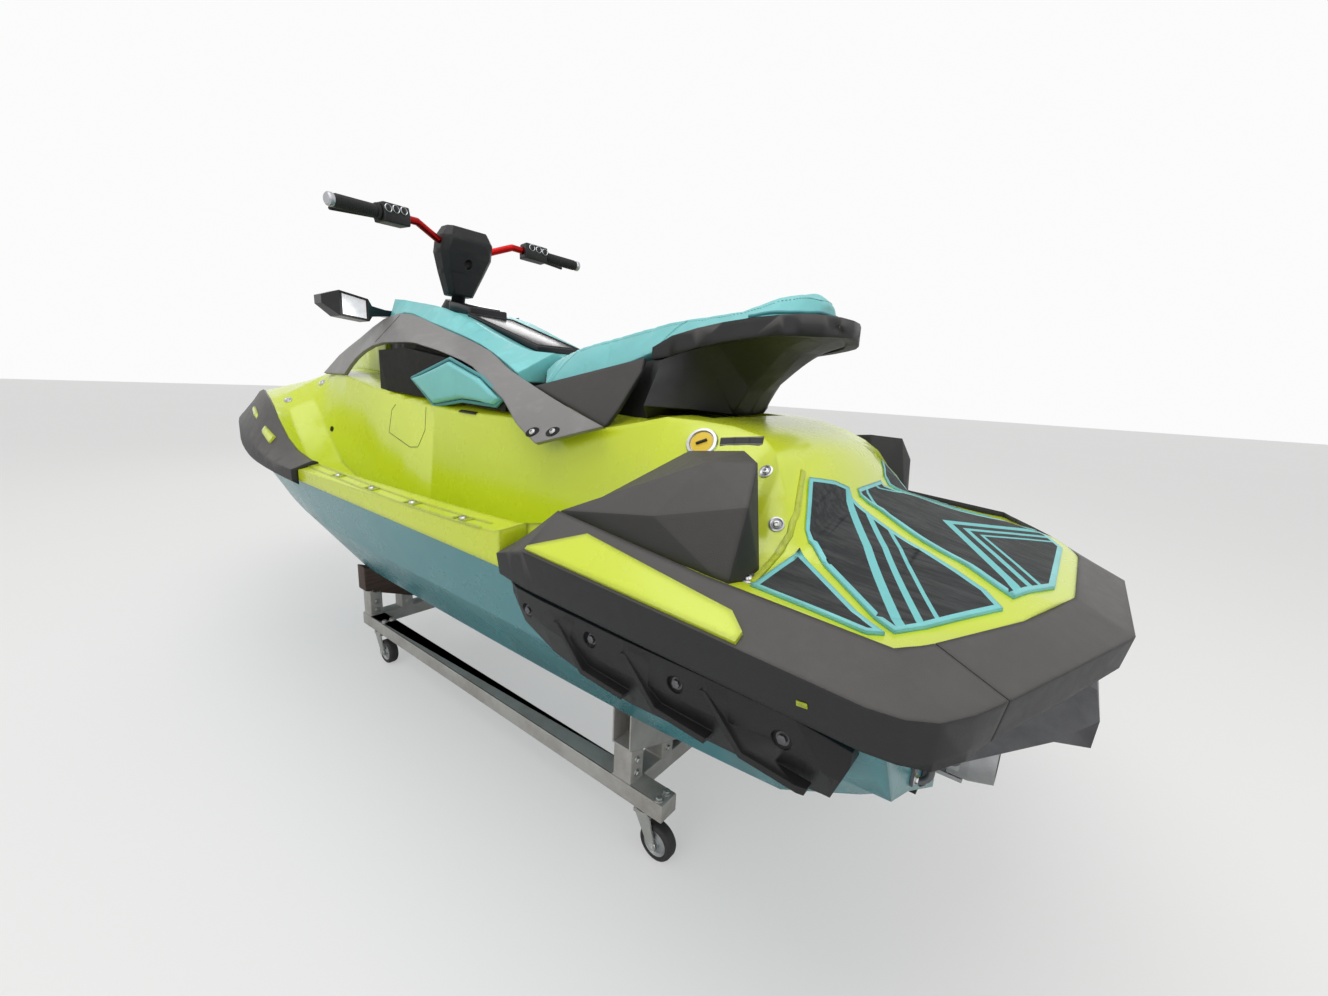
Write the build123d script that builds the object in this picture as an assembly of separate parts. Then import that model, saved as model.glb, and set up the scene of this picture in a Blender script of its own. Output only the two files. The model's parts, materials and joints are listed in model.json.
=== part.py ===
from build123d import *
from functools import cache
import math
import os

# Sport personal watercraft on its shop dolly. Millimetres.
# +X runs to the bow, +Y to port, +Z up. The origin is on the floor under the middle of the craft.

# Driving dimensions
STERN_X = -1570.0            # rearmost point of the stern bumper
BOW_X = 1570.0               # foremost point of the bow bumper
DECK_OVERHANG = 10.0         # deck flange outside the hull side
SEAT_GAP = 0.3               # clearance between fitted curved faces
BUMPER_WALL = 16.0           # how far a bumper stands outside the deck flange

ENGINE_BAY_REAR_X = -880.0
ENGINE_BAY_FRONT_X = -200.0
ENGINE_BAY_HALF_W = 160.0
ENGINE_BAY_FLOOR_Z = 300.0
ENGINE_BAY_SPACE = 60.0      # from the engine's front to the bay's
ENGINE_LENGTH = 540.0
ENGINE_WIDTH = 290.0
ENGINE_HEIGHT = 360.0

PUMP_Z = 330.0               # height of the jet pump's axis
PUMP_BORE_R = 74.0
PUMP_WALL = 9.0
PUMP_LENGTH = 160.0          # straight part of the housing
PUMP_CONE_LENGTH = 58.0
PUMP_OUTLET_R = 46.0
TUNNEL_CLEARANCE = 6.0
TRANSOM_X = -1360.0
PUMP_CONE_X = TRANSOM_X + 70.0    # where the housing starts to narrow
PUMP_FRONT_X = PUMP_CONE_X + PUMP_LENGTH
IMPELLER_TIP_GAP = 0.5
IMPELLER_HUB_R = 26.0
IMPELLER_LENGTH = 80.0
IMPELLER_BLADES = 3
PIVOT_R = 6.0                # pins of the nozzle and of the bucket
PIVOT_FIT = 0.05
SHAFT_R = 12.0
SHAFT_CLEARANCE = 0.05       # running clearance of the impeller shaft in the hull
INTAKE_LENGTH = 310.0        # opening in the keel ahead of the pump
INTAKE_HALF_W = 70.0
NOZZLE_EXIT_R = 50.0
NOZZLE_MOUTH_R = 60.0
NOZZLE_PIVOT_X = TRANSOM_X - 25.0
NOZZLE_LENGTH = 62.0         # from the pivots to the outlet
BUCKET_PIVOT_X = TRANSOM_X - 22.0
BUCKET_PIVOT_Z = PUMP_Z + 15.0

STEER_X = 300.0              # steering column at the cowl top
STEER_Z = 1190.0
STEER_LEAN_DEG = 17.0
BAR_R = 11.0
BAR_FIT = 0.05               # clearance of what is clamped on the bar
GRIP_R = 17.0

WHEEL_R = 40.0
WHEEL_WIDTH = 30.0
CASTER_TRAIL = 32.0
CASTER_Y = 320.0
CASTER_REAR_X = -885.0
CASTER_FRONT_X = 281.0
RAIL_Z = 108.0               # underside of the dolly's rails
RAIL_H = 40.0
RAIL_W = 50.0
RAIL_Y = 320.0
RAIL_FRONT_X = 372.0
RAIL_REAR_X = -940.0
REAR_BUNK_X = -828.0
FRONT_BUNK_X = 345.0
BUNK_W = 50.0
BUNK_END_Y = 345.0

# Hull half sections, stern to bow.
# Columns: x, keel z, strake y, strake z, chine y, chine z, rail y, bond z
HULL = [
    (TRANSOM_X, 215, 345, 425, 450, 478, 535, 607),
    (-1180, 200, 353, 331, 462, 481, 538, 617),
    (-760, 190, 360, 321, 480, 485, 545, 640),
    (250, 190, 345, 322, 478, 502, 540, 655),
    (560, 200, 315, 345, 452, 520, 522, 660),
    (900, 245, 250, 400, 385, 550, 472, 678),
    (1250, 370, 150, 500, 262, 610, 376, 705),
    (1470, 540, 75, 620, 140, 680, 240, 733),
    (1548, 680, 25, 705, 60, 724, 110, 745),
]

# Deck half sections above the bond line, stern to bow.
# Columns: x, flange top z, lip y z, outer floor y z, inner floor y z,
# shoulder y z, crest y z, centre z
DECK = [
    (-1505, 672, 430, 676, 330, 682, 290, 685, 200, 688, 100, 690, 690),
    (-1300, 680, 452, 678, 400, 680, 320, 698, 200, 726, 100, 735, 735),
    (-1160, 698, 468, 692, 428, 689, 330, 712, 306, 728, 104, 774, 774),
    (-1135, 701, 470, 695, 430, 691, 333, 720, 294, 762, 106, 815, 816),
    (-1110, 705, 472, 699, 430, 694, 336, 728, 285, 790, 108, 845, 847),
    (-1085, 708, 473, 702, 430, 697, 336, 734, 268, 830, 110, 861, 863),
    (-1060, 712, 475, 706, 430, 700, 335, 740, 236, 855, 110, 871, 873),
    (-1020, 716, 477, 710, 430, 702, 330, 752, 208, 878, 110, 884, 886),
    (-960, 722, 480, 716, 430, 705, 320, 770, 214, 892, 110, 895, 895),
    (-830, 738, 490, 732, 450, 700, 320, 745, 250, 900, 150, 903, 903),
    (-700, 700, 500, 706, 455, 600, 325, 600, 278, 868, 200, 892, 892),
    (-250, 690, 500, 698, 450, 570, 335, 570, 305, 868, 210, 905, 905),
    (0, 687, 499, 696, 448, 575, 335, 575, 310, 876, 262, 900, 905),
    (250, 684, 498, 694, 445, 600, 335, 600, 310, 905, 265, 915, 910),
    (450, 690, 490, 745, 440, 660, 345, 660, 312, 938, 240, 950, 948),
    (700, 722, 455, 850, 420, 860, 350, 900, 270, 945, 170, 965, 972),
    (900, 738, 410, 868, 370, 882, 290, 905, 210, 925, 110, 940, 945),
    (1250, 760, 300, 850, 250, 858, 190, 865, 130, 872, 70, 878, 880),
    (1470, 772, 165, 825, 130, 830, 100, 834, 70, 838, 35, 840, 842),
    (1548, 775, 70, 805, 55, 808, 42, 810, 30, 812, 14, 814, 815),
]


def interpolate(table, x):
    """Row of the table at x, linear between stations."""
    rows = table
    if x <= rows[0][0]:
        return (x,) + tuple(rows[0][1:])
    if x >= rows[-1][0]:
        return (x,) + tuple(rows[-1][1:])
    for low, high in zip(rows, rows[1:]):
        if low[0] <= x <= high[0]:
            t = (x - low[0]) / (high[0] - low[0])
            return tuple(a + t * (b - a) for a, b in zip(low, high))
    raise ValueError("x is outside the table")


def slopes(xs, ys):
    """Slopes of a smooth curve through points that never swings past them."""
    runs = [(b - a) / (q - p) for p, q, a, b in zip(xs, xs[1:], ys, ys[1:])]
    inner = [2 * a * b / (a + b) if a * b > 0 else 0.0 for a, b in zip(runs, runs[1:])]
    return [runs[0]] + inner + [runs[-1]]


def curve_at(xs, ys, x):
    """Height at x of the smooth curve through the points."""
    grades = slopes(xs, ys)
    i = max(k for k in range(len(xs) - 1) if xs[k] <= x)
    run = xs[i + 1] - xs[i]
    t = (x - xs[i]) / run
    rise = ys[i + 1] - ys[i]
    sway = (1 - t) * (grades[i] * run - rise) - t * (grades[i + 1] * run - rise)
    return ys[i] + rise * t + t * (1 - t) * sway


def filled(xs, step):
    """The stations, with more between them wherever a run is longer than the step."""
    dense = [xs[0]]
    for low, high in zip(xs, xs[1:]):
        count = math.ceil((high - low) / step)
        dense += [low + (high - low) * (i + 1) / count for i in range(count)]
    return dense


def smoothed(table, xs):
    """Rows of the table at the stations, on smooth curves through its columns."""
    columns = list(zip(*sorted(table)))
    return [(x,) + tuple(curve_at(columns[0], column, x) for column in columns[1:]) for x in xs]


def eased(table, step):
    """The table with rows added on smooth curves, so that no run is longer than the step."""
    return smoothed(table, filled(sorted(row[0] for row in table), step))


STATION_STEP = 120.0         # longest run between two stations of hull and deck
GRID = filled(sorted({row[0] for row in HULL + DECK}), STATION_STEP)
HULL_ROWS = smoothed(HULL, [x for x in GRID if x >= TRANSOM_X])
DECK_ROWS = smoothed(DECK, GRID)


def hull_side(x):
    """Port half section of the hull at x, from keel to bond line."""
    _, keel, strake_y, strake_z, chine_y, chine_z, rail_y, bond = interpolate(HULL_ROWS, x)
    return [(0, keel), (strake_y, strake_z), (chine_y, chine_z), (rail_y, bond)]


def deck_side(x):
    """Port half section of the deck at x, from the flange's foot to the centre."""
    row = interpolate(DECK_ROWS, x)
    rail_y, bond = hull_side(x)[3]
    flange_y = rail_y + DECK_OVERHANG
    points = [(flange_y, bond), (flange_y, row[1])]
    points += [(row[i], row[i + 1]) for i in range(2, 12, 2)]
    return points + [(0, row[12])]


TRAY_T = 8.0                 # wall of the footwell tray where it hangs below the bond line
TRAY_FLARE = 2.0             # how much wider the tray's mouth is


def tray(x):
    """Port half section of the deck's underside at x, from the middle outwards."""
    lip_y, lip_z, outer_y, outer_z, inner_y, inner_z, shoulder_y, shoulder_z = interpolate(DECK_ROWS, x)[2:10]
    bond = hull_side(x)[3][1]
    inner_share = (bond - inner_z) / (shoulder_z - inner_z) if bond > inner_z else 0.0
    outer_share = (bond - outer_z) / (lip_z - outer_z) if bond > outer_z else 0.0
    mouth_in = inner_y + (shoulder_y - inner_y) * inner_share - TRAY_T - TRAY_FLARE
    mouth_out = outer_y + (lip_y - outer_y) * outer_share + TRAY_T + TRAY_FLARE
    return [(mouth_in, bond), (inner_y - TRAY_T, min(bond, inner_z - TRAY_T)),
            (outer_y + TRAY_T, min(bond, outer_z - TRAY_T)), (mouth_out, bond)]


def ring(x, half):
    """Closed outline across the craft from a port half section."""
    starboard = [(-y, z) for y, z in reversed(half) if y > 0]
    return Wire.make_polygon([Vector(x, y, z) for y, z in half + starboard], close=True)


def outline(points):
    """Closed outline through points in space."""
    return Wire.make_polygon([Vector(*p) for p in points], close=True)


def skin(wires):
    """Solid with straight runs between outlines."""
    body = Solid.make_loft(wires, ruled=True)
    if body.volume < 0:
        body = Solid.make_loft(list(reversed(wires)), ruled=True)
    return body


def capped(lower, upper, crown):
    """Faceted solid between two outlines of equal count, its top fanned from a crown point."""
    low = [Vector(*p) for p in lower]
    high = [Vector(*p) for p in upper]
    peak = Vector(*crown)
    faces = [Face(Wire.make_polygon(low, close=True))]
    for i in range(len(low)):
        j = (i + 1) % len(low)
        for corners in ((low[i], low[j], high[j]), (low[i], high[j], high[i]), (high[i], high[j], peak)):
            faces.append(Face(Wire.make_polygon(list(corners), close=True)))
    body = Solid(Shell(faces))
    return body if body.volume > 0 else Solid(Shell([-face for face in faces]))


def slab(points, z0, z1):
    """Upright prism on a flat outline of (x, y) points."""
    face = Face(Wire.make_polygon([Vector(x, y, z0) for x, y in points], close=True))
    return Solid.extrude(face, Vector(0, 0, z1 - z0))


def side_prism(points, y0, y1):
    """Prism across the craft on an outline of (x, z) points."""
    face = Face(Wire.make_polygon([Vector(x, y0, z) for x, z in points], close=True))
    return Solid.extrude(face, Vector(0, y1 - y0, 0))


def block(x0, x1, y0, y1, z0, z1):
    """Box between two corners."""
    return Solid.make_box(x1 - x0, y1 - y0, z1 - z0, Plane((x0, y0, z0)))


def rod(start, end, radius):
    """Round bar between two points."""
    a, b = Vector(*start), Vector(*end)
    return Solid.make_cylinder(radius, (b - a).length, Plane(origin=a, z_dir=(b - a)))


def port_and_starboard(shape):
    """The port piece and its mirror image."""
    return [shape, shape.mirror(Plane.XZ)]


# Edge of the stern platform seen from above: x, y of the deck edge inside the bumper.
STERN_EDGE = [(-1499, 138), (-1449, 290), (-1376, 436), (-1345, 486), (-1100, 492), (-800, 494)]
BUMPER_FRONT_X = -722.0


def deck_planform():
    """Plan outline that trims the deck to the inner edge of the stern bumper."""
    port = STERN_EDGE + [(BUMPER_FRONT_X, 498), (BUMPER_FRONT_X, 700), (BOW_X, 700)]
    return port + [(x, -y) for x, y in reversed(port)]


ABOVE_ALL = 1300.0           # cuts that are open upwards end here


def engine_bay():
    return block(ENGINE_BAY_REAR_X, ENGINE_BAY_FRONT_X, -ENGINE_BAY_HALF_W, ENGINE_BAY_HALF_W,
                 ENGINE_BAY_FLOOR_Z, ABOVE_ALL)


def pump_tunnel():
    radius = PUMP_BORE_R + PUMP_WALL + TUNNEL_CLEARANCE
    bore = rod((PUMP_FRONT_X, 0, PUMP_Z), (TRANSOM_X - 50, 0, PUMP_Z), radius)
    slot = block(TRANSOM_X - 50, PUMP_FRONT_X, -radius, radius, 100, PUMP_Z)
    shaft = rod((PUMP_FRONT_X, 0, PUMP_Z), (ENGINE_BAY_REAR_X + 10, 0, PUMP_Z), SHAFT_R + SHAFT_CLEARANCE)
    return bore + slot + intake_duct() + shaft


def intake_duct():
    """Water duct rising from the keel to the pump's mouth."""
    x = PUMP_FRONT_X - 10
    top, foot = PUMP_Z + PUMP_BORE_R - 4, 150
    points = [(x, top), (x + 70, top - 20), (PUMP_FRONT_X + INTAKE_LENGTH, foot), (x, foot)]
    return side_prism(points, -INTAKE_HALF_W, INTAKE_HALF_W)


def stations(x0, x1):
    """Every station of hull and deck between x0 and x1, with both ends."""
    return [x0] + [x for x in GRID if x0 < x < x1] + [x1]


def make_hull():
    body = skin([ring(x, hull_side(x) + tray(x)[::-1]) for x in stations(TRANSOM_X, HULL[-1][0])])
    return body - engine_bay() - pump_tunnel()


DECK_JOINT_X = 540.0         # where the foredeck moulding meets the rider's deck


def deck_blank(x0, x1):
    wires = []
    for x in stations(x0, x1):
        half = deck_side(x)
        wires.append(ring(x, [(0, half[0][1])] + tray(x) + half))
    return skin(wires)


def make_deck():
    """Stern platform, footwells and the centre that carries the seat."""
    body = deck_blank(DECK[0][0], DECK_JOINT_X) & slab(deck_planform(), 500, 1200)
    return body - engine_bay() - glovebox_well()


def make_foredeck():
    return deck_blank(DECK_JOINT_X, DECK[-1][0]) - stowage_well()


# Stern and side bumper, from the port front end round to the stern.
# Columns: outer x y, inner x y, foot z, shoulder z, crest z
BUMPER = [
    (BUMPER_FRONT_X, 562, -760, 530, 632, 668, 700),
    (-760, 565, -780, 512, 628, 679, 723),
    (-800, 568, -800, 494, 625, 690, 746),
    (-1100, 568, -1100, 492, 610, 672, 710),
    (-1345, 567, -1345, 486, 600, 656, 690),
    (-1380, 560, -1355, 470, 600, 655, 689),
    (-1408, 542, -1364, 456, 600, 655, 688),
    (-1432, 500, -1371, 445, 600, 654, 688),
    (-1455, 446, -1376, 436, 600, 654, 688),
    (-1512, 298, -1449, 290, 604, 656, 690),
    (STERN_X, 150, -1499, 138, 610, 660, 692),
]
BUMPER_SPLIT = 8             # rows from this one on belong to the rear piece
SEAM_SHARE = 0.01            # share of the first rear run left open as a seam
FOOT_INSET = 0.12            # how far the foot is drawn in under the shoulder, share of the width


def bumper_wire(row, side):
    xo, yo, xi, yi, foot, shoulder, crest = row
    yi = yi + SEAT_GAP
    rail_y, bond = hull_side(max(xo, TRANSOM_X))[3]
    knee_y = min(rail_y + DECK_OVERHANG + SEAT_GAP, yo - 3)
    knee = (yo - knee_y) / (yo - yi)
    low = min(FOOT_INSET, knee / 2)
    base = bond + SEAT_GAP

    def at(share, z):
        return (xo + (xi - xo) * share, side * (yo + (yi - yo) * share), z)

    return outline([at(low, foot), at(0, shoulder), at(1, crest), at(1, base), at(knee, base), at(knee, foot)])


STRAIGHT_ROWS = 5            # the first rows of the bumper lie straight across at one x


@cache
def make_side_bumper():
    """Port bumper from the footwell to the stern corner."""
    straight = sorted(BUMPER[:STRAIGHT_ROWS])
    xs = set(stations(straight[0][0], straight[-1][0])) | {row[0] for row in straight}
    rows = [interpolate(straight, x) for x in sorted(xs, reverse=True)] + BUMPER[STRAIGHT_ROWS:BUMPER_SPLIT + 1]
    return skin([bumper_wire(row, 1) for row in rows])


def make_rear_bumper():
    """Bumper across the stern between the two corners."""
    rows = BUMPER[BUMPER_SPLIT:]
    start = tuple(a + (b - a) * SEAM_SHARE for a, b in zip(rows[0], rows[1]))
    rows = [start] + rows[1:]
    wires = [bumper_wire(row, 1) for row in rows]
    wires += [bumper_wire(row, -1) for row in reversed(rows)]
    return skin(wires)


# Bow bumper, wrapped round the deck's flange
BOW_BUMPER_REAR_X = 205.0
BOW_BUMPER_DROP = 12.0       # how far its foot hangs below the bond line


def bow_bumper_wire(x, side):
    half = deck_side(x)
    foot_y, bond = half[0]
    flange, lip = Vector(*half[1]), Vector(*half[2])
    along = (lip - flange).normalized()
    out = Vector(along.Y, -along.X)
    wall, g = BUMPER_WALL, SEAT_GAP
    points = [(foot_y + g, bond - BOW_BUMPER_DROP), (foot_y + wall, bond), (flange.X + wall, flange.Y + 2)]
    for p in (lip + out * (wall * 0.9) - along * 14, lip + out * (wall * 0.5), lip + out * g, flange + out * g):
        points.append((p.X, p.Y))
    points.append((flange.X + g, flange.Y))
    return outline([(x, side * y, z) for y, z in points])


def make_bow_bumper(side):
    xs = stations(BOW_BUMPER_REAR_X, DECK[-1][0])
    return skin([bow_bumper_wire(x, side) for x in xs])


def make_nose_cap():
    """Middle of the bow bumper, closing the nose between the two sides."""
    x = DECK[-1][0]
    half = deck_side(x)
    y = half[1][0] + BUMPER_WALL
    z0, z1 = half[0][1] - BOW_BUMPER_DROP, half[2][1] + SEAT_GAP
    points = [(x + SEAT_GAP, -y), (x + SEAT_GAP, y), (x + 10, y - 6), (BOW_X, y - 50),
              (BOW_X, 50 - y), (x + 10, 6 - y)]
    return slab(points, z0, z1)


# Bright strip on each side bumper. Columns: x, low share, high share of the slope up from the shoulder
SIDE_STRIP = [(-806, 0.05, 0.12), (-890, 0.05, 0.78), (-1100, 0.05, 0.6), (-1165, 0.05, 0.52),
              (-1192, 0.05, 0.25)]
STRIP_T = 6.0


def strip_wire(row):
    x, low, high = row
    _, yo, _, yi, _, shoulder, crest = interpolate(sorted(BUMPER[:STRAIGHT_ROWS]), x)
    slope = Vector(0, yi - yo, crest - shoulder)
    lift = Vector(0, -slope.Z, slope.Y).normalized() * -1
    foot = Vector(x, yo, shoulder)
    corners = []
    for share, out in ((low, SEAT_GAP), (high, SEAT_GAP), (high, STRIP_T), (low, STRIP_T)):
        p = foot + slope * share + lift * out
        corners.append((p.X, p.Y, p.Z))
    return outline(corners)


def make_side_strip():
    return skin([strip_wire(row) for row in SIDE_STRIP]) - make_side_bumper()


# Sponsons below the side bumpers. Columns: x, outer y, top z, bottom z
SPONSON = [
    (-1329, 548, 576, 558),
    (-1310, 549, 583, 506),
    (-1268, 550, 598, 502),
    (-1150, 553, 603, 500),
    (-1010, 556, 607, 497),
    (-915, 557, 611, 506),
    (-840, 558, 614, 520),
    (-768, 556, 618, 552),
    (-735, 545, 622, 596),
]
SPONSON_GAP = 0.6
SPONSON_LEAN = 6.0           # how far the outer face is drawn in at mid height
SPONSON_TUCK = 22.0          # how far its foot is drawn in
SPONSON_END = [(-1268, 550, 598), (-1299, 548, 515), (-1331, 530, 576)]   # plane of the cut-off rear end
# Raised rib from its top point, in x, z, and where the ribs start
SPONSON_RIB = [(0, 0), (-57, -58), (-140, -65), (-138, -73), (-53, -66), (9, 0)]
SPONSON_RIBS = [(-875, 590), (-1016, 588), (-1150, 585)]
SPONSON_RIB_REACH = 2.0      # the ribs stand this far outside the widest part
SPONSON_BOLTS = [(-791, 582), (-941, 582), (-1099, 572), (-1252, 562)]
SPONSON_RECESS_R = 13.0
SPONSON_RECESS_DEPTH = 10.0


def sponson_wire(row):
    x, outer, top, bottom = row
    rail_y, bond = hull_side(x)[3]
    chine_y, chine_z = hull_side(x)[2]

    def beside(z):
        return chine_y + (rail_y - chine_y) * (z - chine_z) / (bond - chine_z) + SPONSON_GAP

    low = max(bottom, chine_z + 2)
    tuck = SPONSON_TUCK * min(1, (top - bottom) / 80)
    return outline([(x, beside(top), top), (x, outer, top), (x, outer - SPONSON_LEAN, (top + bottom) / 2),
                    (x, outer - tuck, bottom), (x, beside(low), low)])


def make_sponson():
    """Port sponson with its slanted ribs and sunk bolt seats."""
    xs = {row[0] for row in SPONSON} | {x for x in GRID if SPONSON[0][0] < x < SPONSON[-1][0]}
    body = skin([sponson_wire(interpolate(SPONSON, x)) for x in sorted(xs)])
    widest = max(row[1] for row in SPONSON)
    for x, z in SPONSON_RIBS:
        points = [(x + dx, z + dz) for dx, dz in SPONSON_RIB]
        body = body + side_prism(points, widest - SPONSON_TUCK, interpolate(SPONSON, x)[1] + SPONSON_RIB_REACH)
    for x, z in SPONSON_BOLTS:
        face_y = interpolate(SPONSON, x)[1]
        body = body - rod((x, face_y - SPONSON_RECESS_DEPTH, z), (x, face_y + 20, z), SPONSON_RECESS_R)
    top, low, back = (Vector(*p) for p in SPONSON_END)
    outward = (low - top).cross(back - top)
    if outward.Y < 0:
        outward = outward * -1
    return body.split(Plane(origin=top, z_dir=outward), keep=Keep.BOTTOM)


# Angled foot brace at the rear of the footwell: plan of the foot, then x y z of the upper edge
WEDGE_FOOT = [(-745, 485), (-745, 400), (-900, 300), (-1060, 300), (-1130, 395), (-1120, 470), (-985, 485)]
WEDGE_TOP = [(-790, 478, 742), (-790, 410, 745), (-938, 320, 851), (-1046, 320, 863),
             (-1106, 385, 856), (-1122, 432, 800), (-985, 470, 768)]
WEDGE_CROWN = (-1030, 400, 850)
WEDGE_FOOT_Z = 690.0


def make_wedge():
    lower = [(x, y, WEDGE_FOOT_Z) for x, y in WEDGE_FOOT]
    return capped(lower, WEDGE_TOP, WEDGE_CROWN)


# Wells under the console lid and under the front cover
GLOVEBOX = (-205.0, 75.0, 72.0, 925.0)      # rear x, front x, half width, floor z
STOWAGE = (560.0, 960.0, 96.0, 800.0)


def glovebox_well():
    x0, x1, y, z = GLOVEBOX
    return block(x0, x1, -y, y, z, ABOVE_ALL)


def stowage_well():
    x0, x1, y, z = STOWAGE
    return block(x0, x1, -y, y, z, ABOVE_ALL)


# Front cover, hinged at its nose. Columns: x, half width, shoulder z, ridge z
HOOD = [
    (470, 172, 1095, 1140),
    (600, 176, 1040, 1078),
    (800, 150, 990, 1014),
    (1000, 118, 955, 972),
    (1180, 84, 912, 926),
]
FORM_STEP = 75.0             # longest run between stations of the upper mouldings
HOOD_SHOULDER = 0.72         # where the top turns down, share of the half width
HOOD_WALL = 12.0
HOOD_FOOT_Z = 860.0          # the sides run down past the deck and are trimmed to it


def hood_half(row, inset):
    _, y, shoulder, ridge = row
    return [(0, HOOD_FOOT_Z), (y - inset, HOOD_FOOT_Z), (y - inset, shoulder - inset),
            (y * HOOD_SHOULDER - inset, ridge - 8 - inset), (0, ridge - inset)]


def make_hood():
    rows = eased(HOOD, FORM_STEP)
    outer = skin([ring(row[0], hood_half(row, 0)) for row in rows])
    wires = []
    for row in rows[:-1]:
        x = max(row[0], rows[0][0] + HOOD_WALL)
        wires.append(ring(x, hood_half(row, HOOD_WALL)))
    return outer - skin(wires) - raised_deck()


# Upper cowl. Columns: x, lower edge y z, ridge y z, centre z
COWL = [
    (460, 176, 1088, 148, 1165, 1168),
    (400, 186, 1130, 165, 1195, 1188),
    (295, 188, 1147, 152, 1183, 1168),
    (140, 188, 1113, 140, 1159, 1150),
    (-130, 196, 1046, 140, 1072, 1066),
    (-270, 210, 994, 130, 1032, 1026),
    (-325, 220, 972, 100, 1029, 1020),
]
COWL_SKIRT = 22.0
COWL_TUCK = 8.0              # how far the skirt is drawn in
COWL_RIM = 30.0              # width of the raised rim inside the ridge


@cache
def cowl_form(lift):
    wires = []
    for x, y, z, ridge_y, ridge_z, centre in eased(COWL, FORM_STEP):
        foot, top = z - COWL_SKIRT, centre + lift
        wires.append(ring(x, [(0, foot), (y - COWL_TUCK, foot), (y, z + lift), (ridge_y, ridge_z + lift),
                              (ridge_y - COWL_RIM, top), (0, top)]))
    return skin(wires)


def make_cowl_top():
    body = cowl_form(0) - glovebox_well() - lid_rebate()
    for arch in port_and_starboard(arch_form(SEAT_GAP)):
        body = body - arch
    return body


CORE_INSET = 16.0            # inner moulding inside the cowl's lower edge
CORE_SINK = 20.0             # it starts this far below the deck and is trimmed to it


def make_cowl_core():
    """Black inner moulding that carries the upper cowl on the deck."""
    wires = []
    for x, y, z, _, _, _ in eased(COWL, FORM_STEP):
        top = z - COWL_SKIRT - SEAT_GAP
        low = min(deck_side(x)[6][1], deck_side(x)[7][1]) - CORE_SINK
        wires.append(ring(x, [(0, low), (y - CORE_INSET, low), (y - CORE_INSET, top), (0, top)]))
    return skin(wires) - glovebox_well() - raised_deck()


# Side arches, outer face. Columns: upper edge x y z, lower edge x y z
ARCH = [
    (660, 302, 944, 452, 318, 944),
    (590, 276, 1005, 415, 312, 975),
    (503, 240, 1065, 340, 302, 1018),
    (400, 204, 1128, 235, 290, 1044),
    (295, 198, 1142, 110, 286, 1045),
    (19, 198, 1082, -20, 286, 1030),
    (-186, 206, 1027, -137, 288, 1008),
    (-273, 218, 988, -242, 294, 982),
    (-350, 230, 962, -330, 304, 937),
    (-417, 243, 943, -395, 314, 910),
    (-560, 276, 908, -470, 334, 862),
    (-720, 312, 874, -560, 352, 826),
]
ARCH_WALL = 10.0
ARCH_DROP = 4.0


@cache
def arch_form(grow):
    """Arch with its inner face moved inwards by grow."""
    w = ARCH_WALL + grow
    drop = ARCH_DROP * w / ARCH_WALL
    wires = []
    for ux, uy, uz, lx, ly, lz in eased(ARCH, FORM_STEP):
        wires.append(outline([(ux, uy, uz), (lx, ly, lz), (lx, ly - w, lz - drop), (ux, uy - w, uz - drop)]))
    return skin(wires)


def make_arch():
    return arch_form(0) - raised_deck()


@cache
def raised_deck():
    """The deck's outer form lifted by a seating gap, used to seat what stands on it."""
    wires = []
    for x in stations(-1350, 1250):
        half = [(y, z + SEAT_GAP) for y, z in deck_side(x)]
        half[0] = (half[0][0] + SEAT_GAP, half[0][1])
        half[1] = (half[1][0] + SEAT_GAP, half[1][1])
        wires.append(ring(x, [(0, half[0][1])] + half))
    return skin(wires)


# Padded knee panels under the arches: outline in x, z
KNEE_PAD = [(47, 945), (-154, 1000), (-295, 958), (-381, 909), (-352, 891), (-207, 895), (-70, 874)]
KNEE_PAD_Y = 296.0
KNEE_PAD_T = 16.0


def make_knee_pad():
    outer = []
    middle = (-200, 935)
    for x, z in KNEE_PAD:
        outer.append((x + (middle[0] - x) * 0.06, KNEE_PAD_Y + KNEE_PAD_T, z + (middle[1] - z) * 0.1))
    inner = [(x, KNEE_PAD_Y, z) for x, z in KNEE_PAD]
    return skin([outline(inner), outline(outer)]) - arch_form(SEAT_GAP) - raised_deck()


def make_intake_panel():
    """Dark panel behind the knee pad, with the intake slot above it."""
    points = [(250, 905), (250, 1022), (100, 1028), (-130, 1000), (-300, 955), (-380, 900), (-380, 880)]
    plate = side_prism(points, KNEE_PAD_Y - SEAT_GAP - 40, KNEE_PAD_Y - SEAT_GAP)
    return plate - arch_form(SEAT_GAP) - raised_deck()


# Seat cushion. Columns: x, lower edge y z, upper edge y z, ridge z
SEAT = [
    (-335, 150, 985, 108, 1018, 1022),
    (-400, 208, 946, 140, 1022, 1027),
    (-470, 210, 950, 150, 1036, 1041),
    (-600, 203, 974, 152, 1060, 1066),
    (-740, 200, 1026, 152, 1086, 1092),
    (-900, 188, 1062, 130, 1107, 1116),
    (-975, 150, 1078, 100, 1135, 1147),
    (-1013, 112, 1090, 62, 1145, 1156),
    (-1042, 62, 1100, 30, 1128, 1134),
]
SEAT_EDGE = 8.0
SEAT_TUCK = 14.0             # how far the cushion's foot is drawn in


@cache
def make_seat():
    wires = []
    for x, y, z, top_y, top_z, ridge in eased(SEAT, FORM_STEP):
        foot = z - SEAT_EDGE
        wires.append(ring(x, [(0, foot), (y - SEAT_TUCK, foot), (y, z), (top_y, top_z), (0, ridge)]))
    return skin(wires)


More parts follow.
